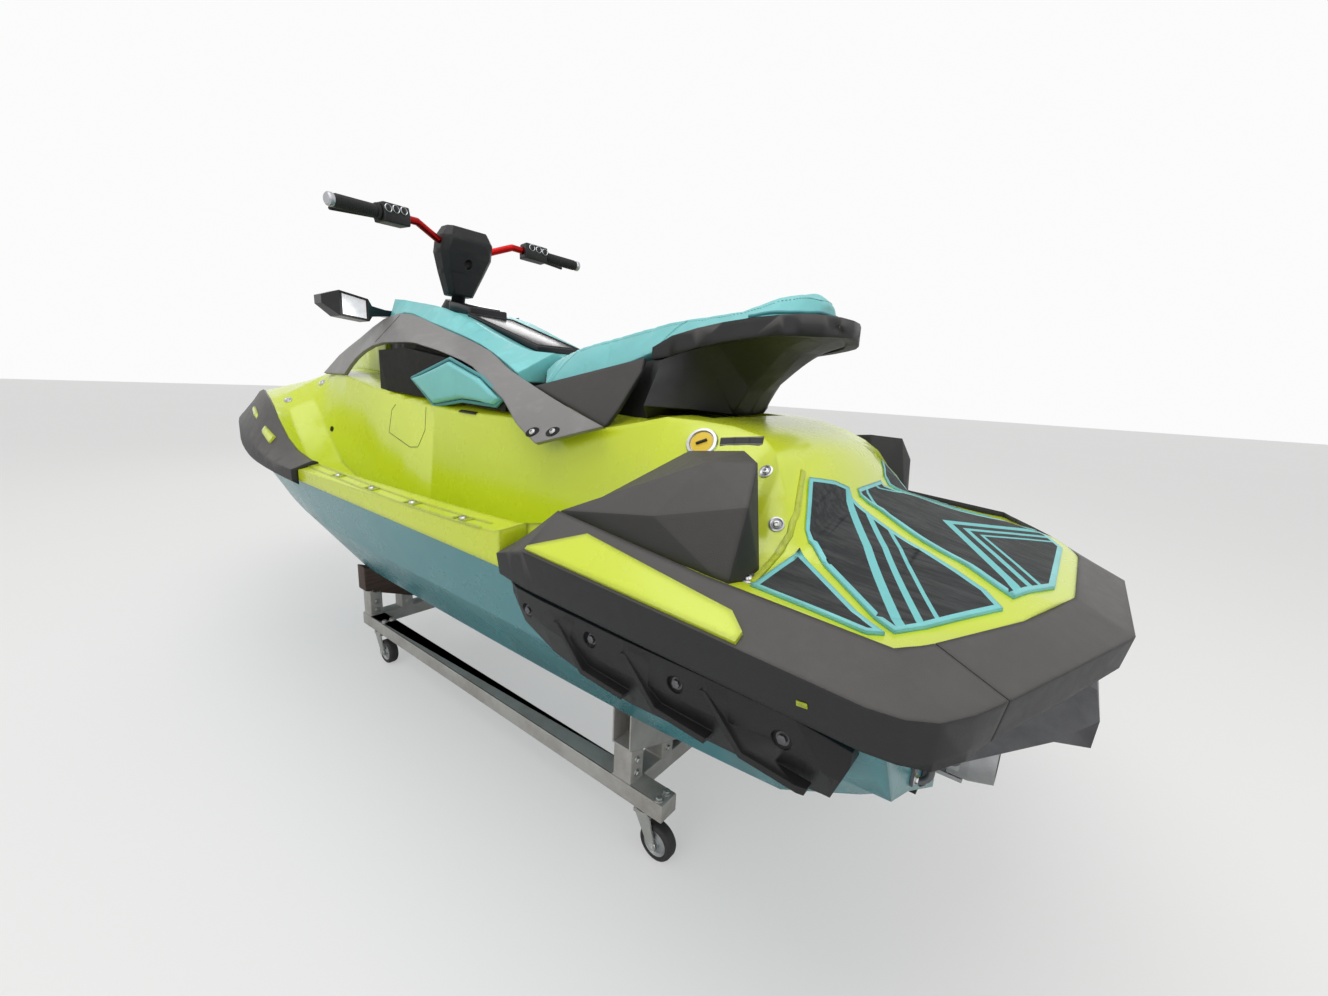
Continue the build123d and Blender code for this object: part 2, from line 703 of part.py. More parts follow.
# Seat base moulding. Columns: x, middle z, foot y z, top y z
SEAT_SHELL = [
    (-345, 890, 146, 890, 146, 980),
    (-400, 890, 196, 890, 196, 945),
    (-600, 888, 200, 888, 194, 968),
    (-700, 886, 206, 886, 196, 1000),
    (-752, 888, 214, 890, 198, 1010),
    (-777, 896, 258, 918, 206, 1010),
    (-825, 898, 176, 915, 206, 1024),
    (-870, 902, 70, 906, 202, 1034),
    (-900, 952, 58, 962, 196, 1044),
    (-940, 990, 66, 1000, 186, 1052),
    (-985, 1036, 78, 1042, 168, 1058),
    (-1030, 1056, 92, 1058, 140, 1066),
    (-1078, 1070, 50, 1072, 60, 1084),
]
SHELL_WALL = 8.0
SHELL_HOLLOW = (1, 5)        # rows between which the moulding is open underneath
SEAT_SPACE_WIDTH = 60.0      # the cushion's space is cleared this far beside it


@cache
def shell_form():
    wires = []
    for x, mid, y, z, top_y, top_z in SEAT_SHELL:
        wires.append(ring(x, [(0, mid), (y, z), (top_y, top_z), (0, top_z)]))
    return skin(wires)


def make_seat_shell():
    inner = []
    for x, mid, y, z, top_y, top_z in SEAT_SHELL[SHELL_HOLLOW[0]:SHELL_HOLLOW[1]]:
        w = SHELL_WALL
        inner.append(ring(x, [(0, mid - 30), (y - w, z - 30), (top_y - w, top_z - w), (0, top_z - w)]))
    space = []
    for x, y, z, _, _, _ in eased(SEAT, FORM_STEP):
        low, width = z - SEAT_EDGE - SEAT_GAP, y + SEAT_SPACE_WIDTH
        space.append(ring(x, [(0, low), (width, low), (width, ABOVE_ALL), (0, ABOVE_ALL)]))
    return shell_form() - skin(inner) - skin(space) - raised_deck()


# Grab band round the rear of the seat. Columns: x, y, top z, bottom z
GRAB_BAND = [
    (-748, 203, 1034, 1010),
    (-800, 207, 1056, 1017),
    (-860, 208, 1069, 1033),
    (-916, 207, 1078, 1043),
    (-975, 198, 1086, 1051),
    (-1015, 178, 1091, 1056),
    (-1043, 146, 1096, 1058),
    (-1065, 100, 1099, 1060),
    (-1079, 50, 1100, 1064),
    (-1084, 0, 1100, 1066),
]
GRAB_BAND_T = 26.0


def make_grab_band():
    wires = []
    rows = GRAB_BAND + [(x, -y, top, low) for x, y, top, low in reversed(GRAB_BAND[:-1])]
    for i, (x, y, top, low) in enumerate(rows):
        before = Vector(*rows[max(i - 1, 0)][:2])
        after = Vector(*rows[min(i + 1, len(rows) - 1)][:2])
        along = (after - before).normalized()
        normal = Vector(-along.Y, along.X, 0)
        inner = Vector(x, y, 0) + normal * GRAB_BAND_T
        wires.append(outline([(x, y, low), (x, y, top), (inner.X, inner.Y, top), (inner.X, inner.Y, low)]))
    return skin(wires) - make_seat() - shell_form()


# Dark cover between the arch's foot and the seat: three points of its face, and its outline in x, z
COVER_FACE = [(-398, 226, 942), (-745, 223, 1012), (-692, 280, 868)]
COVER_EDGE = [(-398, 942), (-745, 1012), (-748, 984), (-716, 907), (-692, 868)]
COVER_T = 8.0


def make_side_cover():
    a, b, c = (Vector(*p) for p in COVER_FACE)
    normal = (b - a).cross(c - a)
    outer = [(x, a.Y - (normal.X * (x - a.X) + normal.Z * (z - a.Z)) / normal.Y, z) for x, z in COVER_EDGE]
    inner = [(x, y - COVER_T, z - 3) for x, y, z in outer]
    return skin([outline(inner), outline(outer)]) - arch_form(SEAT_GAP) - raised_deck()


# Console lid over the glovebox: hinge at its front edge
LID_FRONT = (104.0, 1144.0)
LID_REAR = (-236.0, 1044.0)
LID_HALF_W = 86.0
LID_T = 12.0
LID_CROWN = 6.0
LID_GAP = 5.0


def make_lid():
    (xf, zf), (xr, zr) = LID_FRONT, LID_REAR
    points = [(xf, zf + LID_CROWN), (xr, zr + LID_CROWN), (xr, zr - LID_T), (xf, zf - LID_T)]
    return side_prism(points, -LID_HALF_W, LID_HALF_W)


def lid_rebate():
    """Recess for the lid, with its running gap all round and a seat under it."""
    y = LID_HALF_W + LID_GAP
    (xf, zf), (xr, zr) = LID_FRONT, LID_REAR
    rise = LID_GAP * (zf - zr) / (xf - xr)
    floor_front = (xf + LID_GAP, zf + rise - LID_T - SEAT_GAP)
    floor_rear = (xr - LID_GAP, zr - rise - LID_T - SEAT_GAP)
    top = zf + LID_FRONT[0]
    return side_prism([floor_front, (floor_front[0], top), (floor_rear[0], top), floor_rear], -y, y)


DASH = [(114, 1120), (114, 1172), (180, 1186), (236, 1196), (236, 1140)]
DASH_HALF_W = 70.0


def make_dash():
    """Instrument housing ahead of the lid, under the handlebar."""
    return side_prism(DASH, -DASH_HALF_W, DASH_HALF_W) - cowl_form(0)


# Mirror pod, port side. Columns: y, rear x, front x, lower z, upper z
MIRROR = [
    (150, 400, 445, 1136, 1156),
    (200, 400, 445, 1136, 1156),
    (244, 392, 450, 1130, 1162),
    (262, 376, 446, 1112, 1180),
    (335, 404, 480, 1122, 1198),
    (362, 470, 525, 1160, 1186),
]


def make_mirror():
    """Rear-view mirror pod with its short stalk, port side."""
    wires = []
    for y, x0, x1, z0, z1 in MIRROR:
        wires.append(outline([(x0, y, z0), (x1, y, z0), (x1, y, z1), (x0, y, z1)]))
    return skin(wires) - cowl_form(0)


def steer_axis():
    lean = math.radians(STEER_LEAN_DEG)
    return Vector(-math.sin(lean), 0, math.cos(lean))


BOOT_FOOT_R = 58.0
BOOT_TOP_R = 40.0
BOOT_TOP = 14.0              # along the steering axis from its base point
BOOT_DEPTH = 50.0
COLUMN_R = 22.0


def on_steer_axis(distance):
    return Vector(STEER_X, 0, STEER_Z) + steer_axis() * distance


def make_column_boot():
    foot = Plane(origin=on_steer_axis(BOOT_TOP - BOOT_DEPTH), z_dir=steer_axis())
    return Solid.make_cone(BOOT_FOOT_R, BOOT_TOP_R, BOOT_DEPTH, foot) - cowl_form(SEAT_GAP)


BAR_CLAMP = (243.0, 0.0, 1378.0)
BAR_KNEE = (225.0, 172.0, 1408.0)
BAR_END = (176.0, 425.0, 1392.0)


def bar_path():
    """Handlebar centre line, port end to starboard end."""
    clamp_y = 97.0
    port = [BAR_END, BAR_KNEE, (BAR_CLAMP[0], clamp_y, BAR_CLAMP[2])]
    return port + [(x, -y, z) for x, y, z in reversed(port)]


def bar_shape(radius):
    points = bar_path()
    body = rod(points[0], points[1], radius)
    for a, b in zip(points[1:], points[2:]):
        body = body + rod(a, b, radius)
    for p in points[1:-1]:
        body = body + Solid.make_sphere(radius, Plane(origin=p), -90, 90, 360)
    return body


# Handlebar riser. Columns: z, centre x, half length, half width
RISER = [
    (1222, 291, 30, 44),
    (1290, 274, 36, 72),
    (1345, 258, 42, 92),
    (1392, 246, 44, 90),
    (1424, 242, 30, 72),
]
RISER_CORNER = 0.45          # corner cut, share of the half length
RISER_HOLE_Z = 1318.0
RISER_HOLE_R = 15.0


def riser_wire(row):
    z, x, half_x, half_y = row
    c = half_x * RISER_CORNER
    port = [(x + half_x, half_y - c, z), (x + half_x - c, half_y, z), (x - half_x + c, half_y, z),
            (x - half_x, half_y - c, z)]
    return outline(port + [(px, -py, pz) for px, py, pz in reversed(port)])


def make_riser():
    wires = [riser_wire(row) for row in RISER]
    body = skin(wires)
    column = rod(tuple(on_steer_axis(BOOT_TOP + SEAT_GAP)), tuple(on_steer_axis(BOOT_TOP + 60)), COLUMN_R)
    hole = rod((150, 0, RISER_HOLE_Z), (380, 0, RISER_HOLE_Z), RISER_HOLE_R)
    return body + column - hole - bar_shape(BAR_R + BAR_FIT)


def along_grip(t):
    """Point on the port grip's axis, t from 0 at the knee to 1 at the end."""
    a, b = Vector(*BAR_KNEE), Vector(*BAR_END)
    return a + (b - a) * t


def make_grips():
    start, end = along_grip(0.5), along_grip(1.0)
    direction = (end - start).normalized()
    outside = rod(tuple(start), tuple(end), GRIP_R)
    weight = rod(tuple(end), tuple(end + direction * 16), GRIP_R + 1)
    port = (outside - rod(tuple(start - direction), tuple(end), BAR_R + BAR_FIT)) + weight
    return port_and_starboard(port)


# Section of a switch pod across the bar
POD_SECTION = [(-24, -26), (24, -26), (28, 0), (24, 26), (-24, 26), (-28, 0)]
LEVER_ELBOW = (42.0, 0.0, -4.0)
LEVER_REACH = (58.0, 0.0, -8.0)


def make_bar_controls():
    """Switch pod and squeeze lever on each end of the bar."""
    start, end = along_grip(0.16), along_grip(0.49)
    plane = Plane(origin=start, x_dir=Vector(1, 0, 0), z_dir=(end - start))
    section = [plane.from_local_coords(Vector(x, y, 0)) for x, y in POD_SECTION]
    pod = Solid.extrude(Face(Wire.make_polygon(section, close=True)), end - start)
    root = along_grip(0.36)
    elbow = along_grip(0.42) + Vector(*LEVER_ELBOW)
    tip = along_grip(0.95) + Vector(*LEVER_REACH)
    lever = rod(tuple(root), tuple(elbow), 7) + Solid.make_sphere(7, Plane(origin=elbow), -90, 90, 360)
    lever = lever + rod(tuple(elbow), tuple(tip), 5)
    body = (pod + lever) - bar_shape(BAR_R + BAR_FIT)
    return port_and_starboard(body)


# Deck mats in plan, x y
CENTRE_MAT = [(-1154, 70), (-1432, 238), (-1474, 136), (-1474, -136), (-1432, -238), (-1154, -70)]
SIDE_MAT = [(-1112, 205), (-1150, 290), (-1330, 424), (-1425, 282), (-1400, 250), (-1150, 108)]
CORNER_MAT = [(-1156, 320), (-1140, 440), (-1305, 448), (-1322, 436)]
MAT_T = 5.0


def deck_form(lift):
    """The stern deck's outer form, raised by a lift."""
    wires = []
    for x in stations(DECK[0][0], -1060):
        half = deck_side(x)
        wires.append(ring(x, [(0, half[0][1])] + half))
    return skin(wires).moved(Location((0, 0, lift)))


def make_mats():
    band = deck_form(MAT_T + SEAT_GAP) - deck_form(SEAT_GAP)
    mats = [band & slab(CENTRE_MAT, 600, 1000)]
    for plan in (SIDE_MAT, CORNER_MAT):
        mats += port_and_starboard(band & slab(plan, 600, 1000))
    return mats


def revolved(profile):
    """Solid turned about the pump axis from (x, radius) points."""
    face = Face(Wire.make_polygon([Vector(x, 0, PUMP_Z + r) for x, r in profile], close=True))
    return Solid.revolve(face, 360, Axis((0, 0, PUMP_Z), (1, 0, 0)))


VANES = 5
VANE_T = 5.0
OUTLET_WALL = 5.0
OUTLET_LEAD = 8.0            # the outlet ends this far ahead of the nozzle's pivots
ARM_HALF_W = 12.0
ARM_T = 8.0
NOZZLE_ARM_R = 74.0          # inner faces of the arms above and below the nozzle
BUCKET_LUG_Y = 76.0
LUG_BELOW, LUG_ABOVE = 14.0, 26.0


def make_pump():
    """Jet pump housing with stator vanes, outlet cone and nozzle pivots."""
    bore, outside = PUMP_BORE_R, PUMP_BORE_R + PUMP_WALL
    cone_end, outlet_x = PUMP_CONE_X - PUMP_CONE_LENGTH, NOZZLE_PIVOT_X + OUTLET_LEAD
    outlet_in = PUMP_OUTLET_R - OUTLET_WALL
    body = revolved([(PUMP_FRONT_X, bore), (PUMP_FRONT_X, outside), (PUMP_CONE_X, outside),
                     (cone_end, PUMP_OUTLET_R), (outlet_x, PUMP_OUTLET_R), (outlet_x, outlet_in),
                     (cone_end, outlet_in), (PUMP_CONE_X, bore)])
    hub_front = PUMP_FRONT_X - IMPELLER_LENGTH - 10
    body = body + revolved([(hub_front, 0), (hub_front, IMPELLER_HUB_R), (PUMP_CONE_X - 20, 20),
                            (PUMP_CONE_X - 60, 0)])
    for i in range(VANES):
        vane = block(PUMP_CONE_X + 6, hub_front, -VANE_T / 2, VANE_T / 2, PUMP_Z + 15, PUMP_Z + bore + 3)
        body = body + vane.rotate(Axis((0, 0, PUMP_Z), (1, 0, 0)), i * 360 / VANES)
    for s in (1, -1):
        near, far = PUMP_Z + s * NOZZLE_ARM_R, PUMP_Z + s * (NOZZLE_ARM_R + ARM_T)
        body = body + block(NOZZLE_PIVOT_X - ARM_HALF_W, PUMP_CONE_X + 4, -ARM_HALF_W, ARM_HALF_W,
                            min(near, far), max(near, far))
        body = body + rod((NOZZLE_PIVOT_X, 0, PUMP_Z + s * (NOZZLE_MOUTH_R + 2)),
                          (NOZZLE_PIVOT_X, 0, (near + far) / 2), PIVOT_R)
        near, far = s * BUCKET_LUG_Y, s * (BUCKET_LUG_Y + ARM_T)
        body = body + block(BUCKET_PIVOT_X - ARM_HALF_W, PUMP_CONE_X + 4, min(near, far), max(near, far),
                            PUMP_Z - LUG_BELOW, PUMP_Z + LUG_ABOVE)
        body = body + rod((BUCKET_PIVOT_X, (near + far) / 2, BUCKET_PIVOT_Z),
                          (BUCKET_PIVOT_X, s * (BUCKET_Y + BUCKET_T + 3), BUCKET_PIVOT_Z), PIVOT_R)
    return body


BLADE_TWIST_DEG = 75.0
BLADE_T = 5.0
BLADE_STEPS = 4


def make_impeller():
    """Three-bladed impeller with its shaft running forward to the engine."""
    front = PUMP_FRONT_X - 6
    rear = front - IMPELLER_LENGTH
    body = revolved([(front + 10, 0), (front + 10, 16), (front, IMPELLER_HUB_R - 4), (rear, IMPELLER_HUB_R),
                     (rear, 0)])
    for i in range(IMPELLER_BLADES):
        wires = []
        for k in range(BLADE_STEPS + 1):
            t = k / BLADE_STEPS
            middle = Vector(front - 6 - (IMPELLER_LENGTH - 12) * t, 0, PUMP_Z)
            angle = math.radians(360 / IMPELLER_BLADES * i + BLADE_TWIST_DEG * t)
            radial = Vector(0, math.cos(angle), math.sin(angle))
            across = Vector(0, -math.sin(angle), math.cos(angle)) * (BLADE_T / 2)
            root = middle + radial * (IMPELLER_HUB_R - 8)
            edge = middle + radial * (PUMP_BORE_R - IMPELLER_TIP_GAP - 1)
            corners = (root - across, root + across, edge + across, edge - across)
            wires.append(outline([tuple(p) for p in corners]))
        body = body + skin(wires)
    engine_rear = ENGINE_BAY_FRONT_X - ENGINE_BAY_SPACE - ENGINE_LENGTH
    return body + rod((front, 0, PUMP_Z), (engine_rear - SEAT_GAP, 0, PUMP_Z), SHAFT_R)


NOZZLE_WALL = 6.0
NOZZLE_LEAD = 12.0           # its mouth reaches this far ahead of the pivots
NOZZLE_WAIST = 22.0          # and stays full width this far behind them
NOZZLE_BOSS_R = 11.0


def make_nozzle():
    """Steering nozzle on its two upright pins."""
    front, waist = NOZZLE_PIVOT_X + NOZZLE_LEAD, NOZZLE_PIVOT_X - NOZZLE_WAIST
    end = NOZZLE_PIVOT_X - NOZZLE_LENGTH
    mouth, exit_r = NOZZLE_MOUTH_R, NOZZLE_EXIT_R
    body = revolved([(front, mouth), (front, mouth + NOZZLE_WALL), (waist, mouth + NOZZLE_WALL),
                     (end, exit_r + NOZZLE_WALL), (end, exit_r), (waist, mouth)])
    for s in (1, -1):
        body = body + rod((NOZZLE_PIVOT_X, 0, PUMP_Z + s * (mouth + 1)),
                          (NOZZLE_PIVOT_X, 0, PUMP_Z + s * (NOZZLE_ARM_R - 2)), NOZZLE_BOSS_R)
    hole = rod((NOZZLE_PIVOT_X, 0, PUMP_Z - 90), (NOZZLE_PIVOT_X, 0, PUMP_Z + 90), PIVOT_R + PIVOT_FIT)
    return body - hole


# Reverse bucket, raised. Outlines in x, z from its pivot: a side plate, and the inside of its shell
BUCKET = [(-70, 203), (-118, 217), (-167, 202), (-178, 155), (-175, 108), (-131, 97), (0, -15), (13, 7)]
BUCKET_SHELL = 5             # the shell follows the first points
BUCKET_INNER = [(-74, 198), (-118, 211), (-163, 197.5), (-172, 154), (-169, 109)]
BUCKET_Y = 91.0
BUCKET_T = 6.0
BUCKET_BOSS_R = 15.0


def make_bucket():
    def placed(points):
        return [(BUCKET_PIVOT_X + x, BUCKET_PIVOT_Z + z) for x, z in points]

    inner, outer = BUCKET_Y, BUCKET_Y + BUCKET_T
    body = side_prism(placed(BUCKET[:BUCKET_SHELL] + BUCKET_INNER[::-1]), -outer, outer)
    for s in (1, -1):
        near, far = sorted((s * inner, s * outer))
        body = body + side_prism(placed(BUCKET), near, far)
        body = body + rod((BUCKET_PIVOT_X, near, BUCKET_PIVOT_Z), (BUCKET_PIVOT_X, far, BUCKET_PIVOT_Z),
                          BUCKET_BOSS_R)
    pin = rod((BUCKET_PIVOT_X, -outer - 1, BUCKET_PIVOT_Z), (BUCKET_PIVOT_X, outer + 1, BUCKET_PIVOT_Z),
              PIVOT_R + PIVOT_FIT)
    return body - pin


RIDE_PLATE_Z = 238.0
RIDE_PLATE_T = 8.0
RIDE_PLATE_REAR_X = TRANSOM_X + 25.0


def make_ride_plate():
    width = PUMP_BORE_R + PUMP_WALL + TUNNEL_CLEARANCE - SEAT_GAP
    return block(RIDE_PLATE_REAR_X, PUMP_FRONT_X - SEAT_GAP, -width, width,
                 RIDE_PLATE_Z, RIDE_PLATE_Z + RIDE_PLATE_T)


GRATE_Z = 203.0
GRATE_BAR = 8.0
GRATE_H = 10.0
GRATE_YS = (-48, -24, 0, 24, 48)
GRATE_CROSS_X = (PUMP_FRONT_X - 6, PUMP_FRONT_X + 130)


def make_grate():
    z0, z1 = GRATE_Z, GRATE_Z + GRATE_H
    bars = [block(PUMP_FRONT_X - 8, PUMP_FRONT_X + INTAKE_LENGTH, y - GRATE_BAR / 2, y + GRATE_BAR / 2, z0, z1)
            for y in GRATE_YS]
    bars += [block(x, x + GRATE_BAR, -INTAKE_HALF_W, INTAKE_HALF_W, z0, z1) for x in GRATE_CROSS_X]
    body = bars[0]
    for bar in bars[1:]:
        body = body + bar
    return body & intake_duct()


def make_engine():
    x1 = ENGINE_BAY_FRONT_X - ENGINE_BAY_SPACE
    return block(x1 - ENGINE_LENGTH, x1, -ENGINE_WIDTH / 2, ENGINE_WIDTH / 2, ENGINE_BAY_FLOOR_Z,
                 ENGINE_BAY_FLOOR_Z + ENGINE_HEIGHT)


STERN_EYE = (TRANSOM_X, 330.0, 458.0)
EYE_R = 22.0
EYE_BAR_R = 5.0


def make_tow_eyes():
    x, y, z = STERN_EYE
    plate = block(x - 4 - SEAT_GAP, x - SEAT_GAP, y - 12, y + 12, z - 26, z + 26)
    ring_x = x - SEAT_GAP
    loop = Solid.make_torus(EYE_R, EYE_BAR_R, Plane(origin=(ring_x, y, z), z_dir=(0, 1, 0)))
    loop = loop & block(x - 60, x - SEAT_GAP - 1, y - 30, y + 30, z - 60, z + 60)
    return port_and_starboard(plate + loop)


def keel_under(x, y):
    """Height of the hull's bottom at x, y."""
    (_, keel), (strake_y, strake_z) = hull_side(x)[:2]
    return keel + (strake_z - keel) * min(abs(y) / strake_y, 1)


def bunk_vee(x, end_y):
    """Heights of a bunk's top at the middle and at its end."""
    ends = (x - BUNK_W / 2, x + BUNK_W / 2)
    return min(keel_under(e, 0) for e in ends) - SEAT_GAP, min(keel_under(e, end_y) for e in ends) - SEAT_GAP


def bunk_foot(x, height, end_y):
    """Underside of a bunk: flat on the cross tube, then rising to its end."""
    middle, edge = bunk_vee(x, end_y)
    flat = RAIL_Z + RAIL_H
    flat_y = end_y * (flat - middle + height) / (edge - middle)
    return [(0, flat), (flat_y, flat), (end_y, edge - height)]


def bunk_shape(x, height, end_y):
    """Bunk across the dolly whose top follows the hull's vee at x."""
    middle, edge = bunk_vee(x, end_y)
    half = bunk_foot(x, height, end_y) + [(end_y, edge), (0, middle)]
    return skin([ring(x - BUNK_W / 2, half), ring(x + BUNK_W / 2, half)])


# Bunks across the dolly: x, height, end y
REAR_BUNK = (REAR_BUNK_X, 88.0, BUNK_END_Y)
FRONT_BUNK = (FRONT_BUNK_X, 84.0, BUNK_END_Y + 8)


POST_Y = 215.0
POST_W = 40.0


def make_dolly():
    z0, z1 = RAIL_Z, RAIL_Z + RAIL_H
    inner = RAIL_Y - RAIL_W / 2
    pieces = []
    for s in (1, -1):
        y = s * RAIL_Y
        pieces.append(block(RAIL_REAR_X, RAIL_FRONT_X, y - RAIL_W / 2, y + RAIL_W / 2, z0, z1))
    for x, height, end_y in (REAR_BUNK, FRONT_BUNK):
        x0, x1 = x - BUNK_W / 2, x + BUNK_W / 2
        pieces.append(block(x0, x1, -inner, inner, z0, z1))
        for y in (POST_Y, RAIL_Y):
            for s in (1, -1):
                pieces.append(block(x0, x1, s * y - POST_W / 2, s * y + POST_W / 2, z1, z1 + 200))
    body = pieces[0]
    for piece in pieces[1:]:
        body = body + piece
    for x, height, end_y in (REAR_BUNK, FRONT_BUNK):
        body = body - bunk_space(x, height, end_y)
    return body


def bunk_space(x, height, end_y):
    """Everything from a bunk's underside up, to trim the posts that carry it."""
    foot = bunk_foot(x, height, end_y)
    (y0, z0), (y1, z1) = foot[-2:]
    past_y = end_y + POST_W
    past_z = z1 + (z1 - z0) * POST_W / (y1 - y0)
    half = [foot[0], foot[1], (past_y, past_z), (past_y, past_z + 300), (0, past_z + 300)]
    return skin([ring(x - BUNK_W / 2 - 1, half), ring(x + BUNK_W / 2 + 1, half)])


SWIVEL_R = 26.0
SWIVEL_T = 8.0
FORK_T = 4.0
FORK_GAP = 2.0               # between the wheel and each leg
FORK_FOOT = 9.0              # half width of a leg at the axle, and how far it reaches below it
AXLE_R = 5.0
AXLE_FIT = 0.05
TREAD_CHAMFER = 3.0


def make_fork(x, y):
    """Swivel plate and fork of one caster, trailing aft."""
    wheel_x = x - CASTER_TRAIL
    plate_top = RAIL_Z - SEAT_GAP
    plate_foot = plate_top - SWIVEL_T
    body = Solid.make_cylinder(SWIVEL_R, SWIVEL_T, Plane((x, y, plate_foot)))
    inside = WHEEL_WIDTH / 2 + FORK_GAP
    outside = inside + FORK_T
    leg = [(wheel_x - FORK_FOOT, WHEEL_R - FORK_FOOT), (wheel_x + FORK_FOOT, WHEEL_R - FORK_FOOT),
           (x + 18, plate_foot), (x - 20, plate_foot)]
    body = body + side_prism(leg, y + inside, y + outside) + side_prism(leg, y - outside, y - inside)
    crown = block(x - 22, x + 20, y - outside, y + outside, plate_foot - 6, plate_foot + 2)
    axle = rod((wheel_x, y - outside, WHEEL_R), (wheel_x, y + outside, WHEEL_R), AXLE_R)
    return body + crown + axle


def make_wheel(x, y):
    wheel_x = x - CASTER_TRAIL
    half = WHEEL_WIDTH / 2
    tread = rod((wheel_x, y - half, WHEEL_R), (wheel_x, y + half, WHEEL_R), WHEEL_R)
    rims = [e for e in tread.edges() if e.geom_type == GeomType.CIRCLE]
    tread = tread.chamfer(TREAD_CHAMFER, TREAD_CHAMFER, rims)
    bore = rod((wheel_x, y - WHEEL_WIDTH, WHEEL_R), (wheel_x, y + WHEEL_WIDTH, WHEEL_R), AXLE_R + AXLE_FIT)
    return tread - bore


def make_nodes():
    nodes = {"hull": make_hull(), "deck": make_deck(), "foredeck": make_foredeck()}
    side = make_side_bumper()
    nodes["side_bumpers"] = port_and_starboard(side)
    nodes["stern_bumper"] = make_rear_bumper()
    nodes["bow_bumper"] = [make_bow_bumper(1), make_bow_bumper(-1), make_nose_cap()]
    nodes["bumper_strips"] = port_and_starboard(make_side_strip())
    nodes["sponsons"] = port_and_starboard(make_sponson())
    nodes["foot_wedges"] = port_and_starboard(make_wedge() - raised_deck())
    nodes["hood"] = make_hood()
    nodes["cowl_top"] = make_cowl_top()
    nodes["cowl_core"] = make_cowl_core()
    nodes["side_arches"] = port_and_starboard(make_arch())
    nodes["knee_pads"] = port_and_starboard(make_knee_pad())
    nodes["intake_panels"] = port_and_starboard(make_intake_panel())
    nodes["seat_cushion"] = make_seat()
    nodes["seat_shell"] = make_seat_shell()
    nodes["grab_band"] = make_grab_band()
    nodes["side_covers"] = port_and_starboard(make_side_cover())
    nodes["console_lid"] = make_lid()
    nodes["dash"] = make_dash()
    nodes["mirrors"] = port_and_starboard(make_mirror())
    nodes["column_boot"] = make_column_boot()
    nodes["handlebar"] = bar_shape(BAR_R)
    nodes["bar_riser"] = make_riser()
    nodes["grips"] = make_grips()
    nodes["bar_controls"] = make_bar_controls()
    nodes["deck_mats"] = make_mats()
    nodes["jet_pump"] = make_pump()
    nodes["impeller"] = make_impeller()
    nodes["steering_nozzle"] = make_nozzle()
    nodes["reverse_bucket"] = make_bucket()
    nodes["under_fittings"] = [make_ride_plate(), make_grate()]
    nodes["engine"] = make_engine()
    nodes["tow_eyes"] = make_tow_eyes()
    nodes["dolly_frame"] = make_dolly()
    nodes["rear_bunk"] = bunk_shape(*REAR_BUNK)
    nodes["front_bunk"] = bunk_shape(*FRONT_BUNK)
    for end, x in (("front", CASTER_FRONT_X), ("rear", CASTER_REAR_X)):
        for hand, s in (("port", 1), ("starboard", -1)):
            nodes[f"fork_{end}_{hand}"] = make_fork(x, s * CASTER_Y)
            nodes[f"wheel_{end}_{hand}"] = make_wheel(x, s * CASTER_Y)
    return nodes


def solids_of(shape):
    if isinstance(shape, (list, tuple)):
        found = []
        for piece in shape:
            found += solids_of(piece)
        return found
    return list(shape.solids())


def main():
    os.makedirs("parts", exist_ok=True)
    for name, shape in make_nodes().items():
        solids = solids_of(shape)
        piece = solids[0] if len(solids) == 1 else Compound(children=solids)
        piece.label = name
        export_step(piece, f"parts/{name}.step")


main()
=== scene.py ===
import json
import math
from itertools import product

import bmesh
import bpy
from mathutils import Matrix, Vector
from mathutils.bvhtree import BVHTree
from mathutils.kdtree import KDTree

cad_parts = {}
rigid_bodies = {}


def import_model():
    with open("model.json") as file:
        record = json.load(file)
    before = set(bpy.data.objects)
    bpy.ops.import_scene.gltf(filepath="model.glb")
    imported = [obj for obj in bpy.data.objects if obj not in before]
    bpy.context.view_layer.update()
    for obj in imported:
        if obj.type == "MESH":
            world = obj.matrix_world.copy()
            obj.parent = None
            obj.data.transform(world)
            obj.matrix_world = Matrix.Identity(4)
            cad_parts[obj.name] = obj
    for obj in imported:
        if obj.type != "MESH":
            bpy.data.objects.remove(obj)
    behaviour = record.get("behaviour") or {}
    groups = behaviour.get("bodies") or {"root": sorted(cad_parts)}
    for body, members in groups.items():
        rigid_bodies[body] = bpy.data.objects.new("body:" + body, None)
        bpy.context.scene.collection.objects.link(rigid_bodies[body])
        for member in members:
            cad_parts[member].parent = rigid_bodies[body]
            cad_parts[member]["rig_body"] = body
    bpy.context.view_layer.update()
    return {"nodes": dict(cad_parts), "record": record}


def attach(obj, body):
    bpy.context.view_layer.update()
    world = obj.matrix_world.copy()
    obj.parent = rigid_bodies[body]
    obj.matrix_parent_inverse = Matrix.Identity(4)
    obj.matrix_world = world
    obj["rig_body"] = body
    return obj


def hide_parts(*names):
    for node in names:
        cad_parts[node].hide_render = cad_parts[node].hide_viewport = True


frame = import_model()
nodes = frame["nodes"]
body_of = {node: body for body, members in frame["record"]["behaviour"]["bodies"].items() for node in members}


# Shader maths

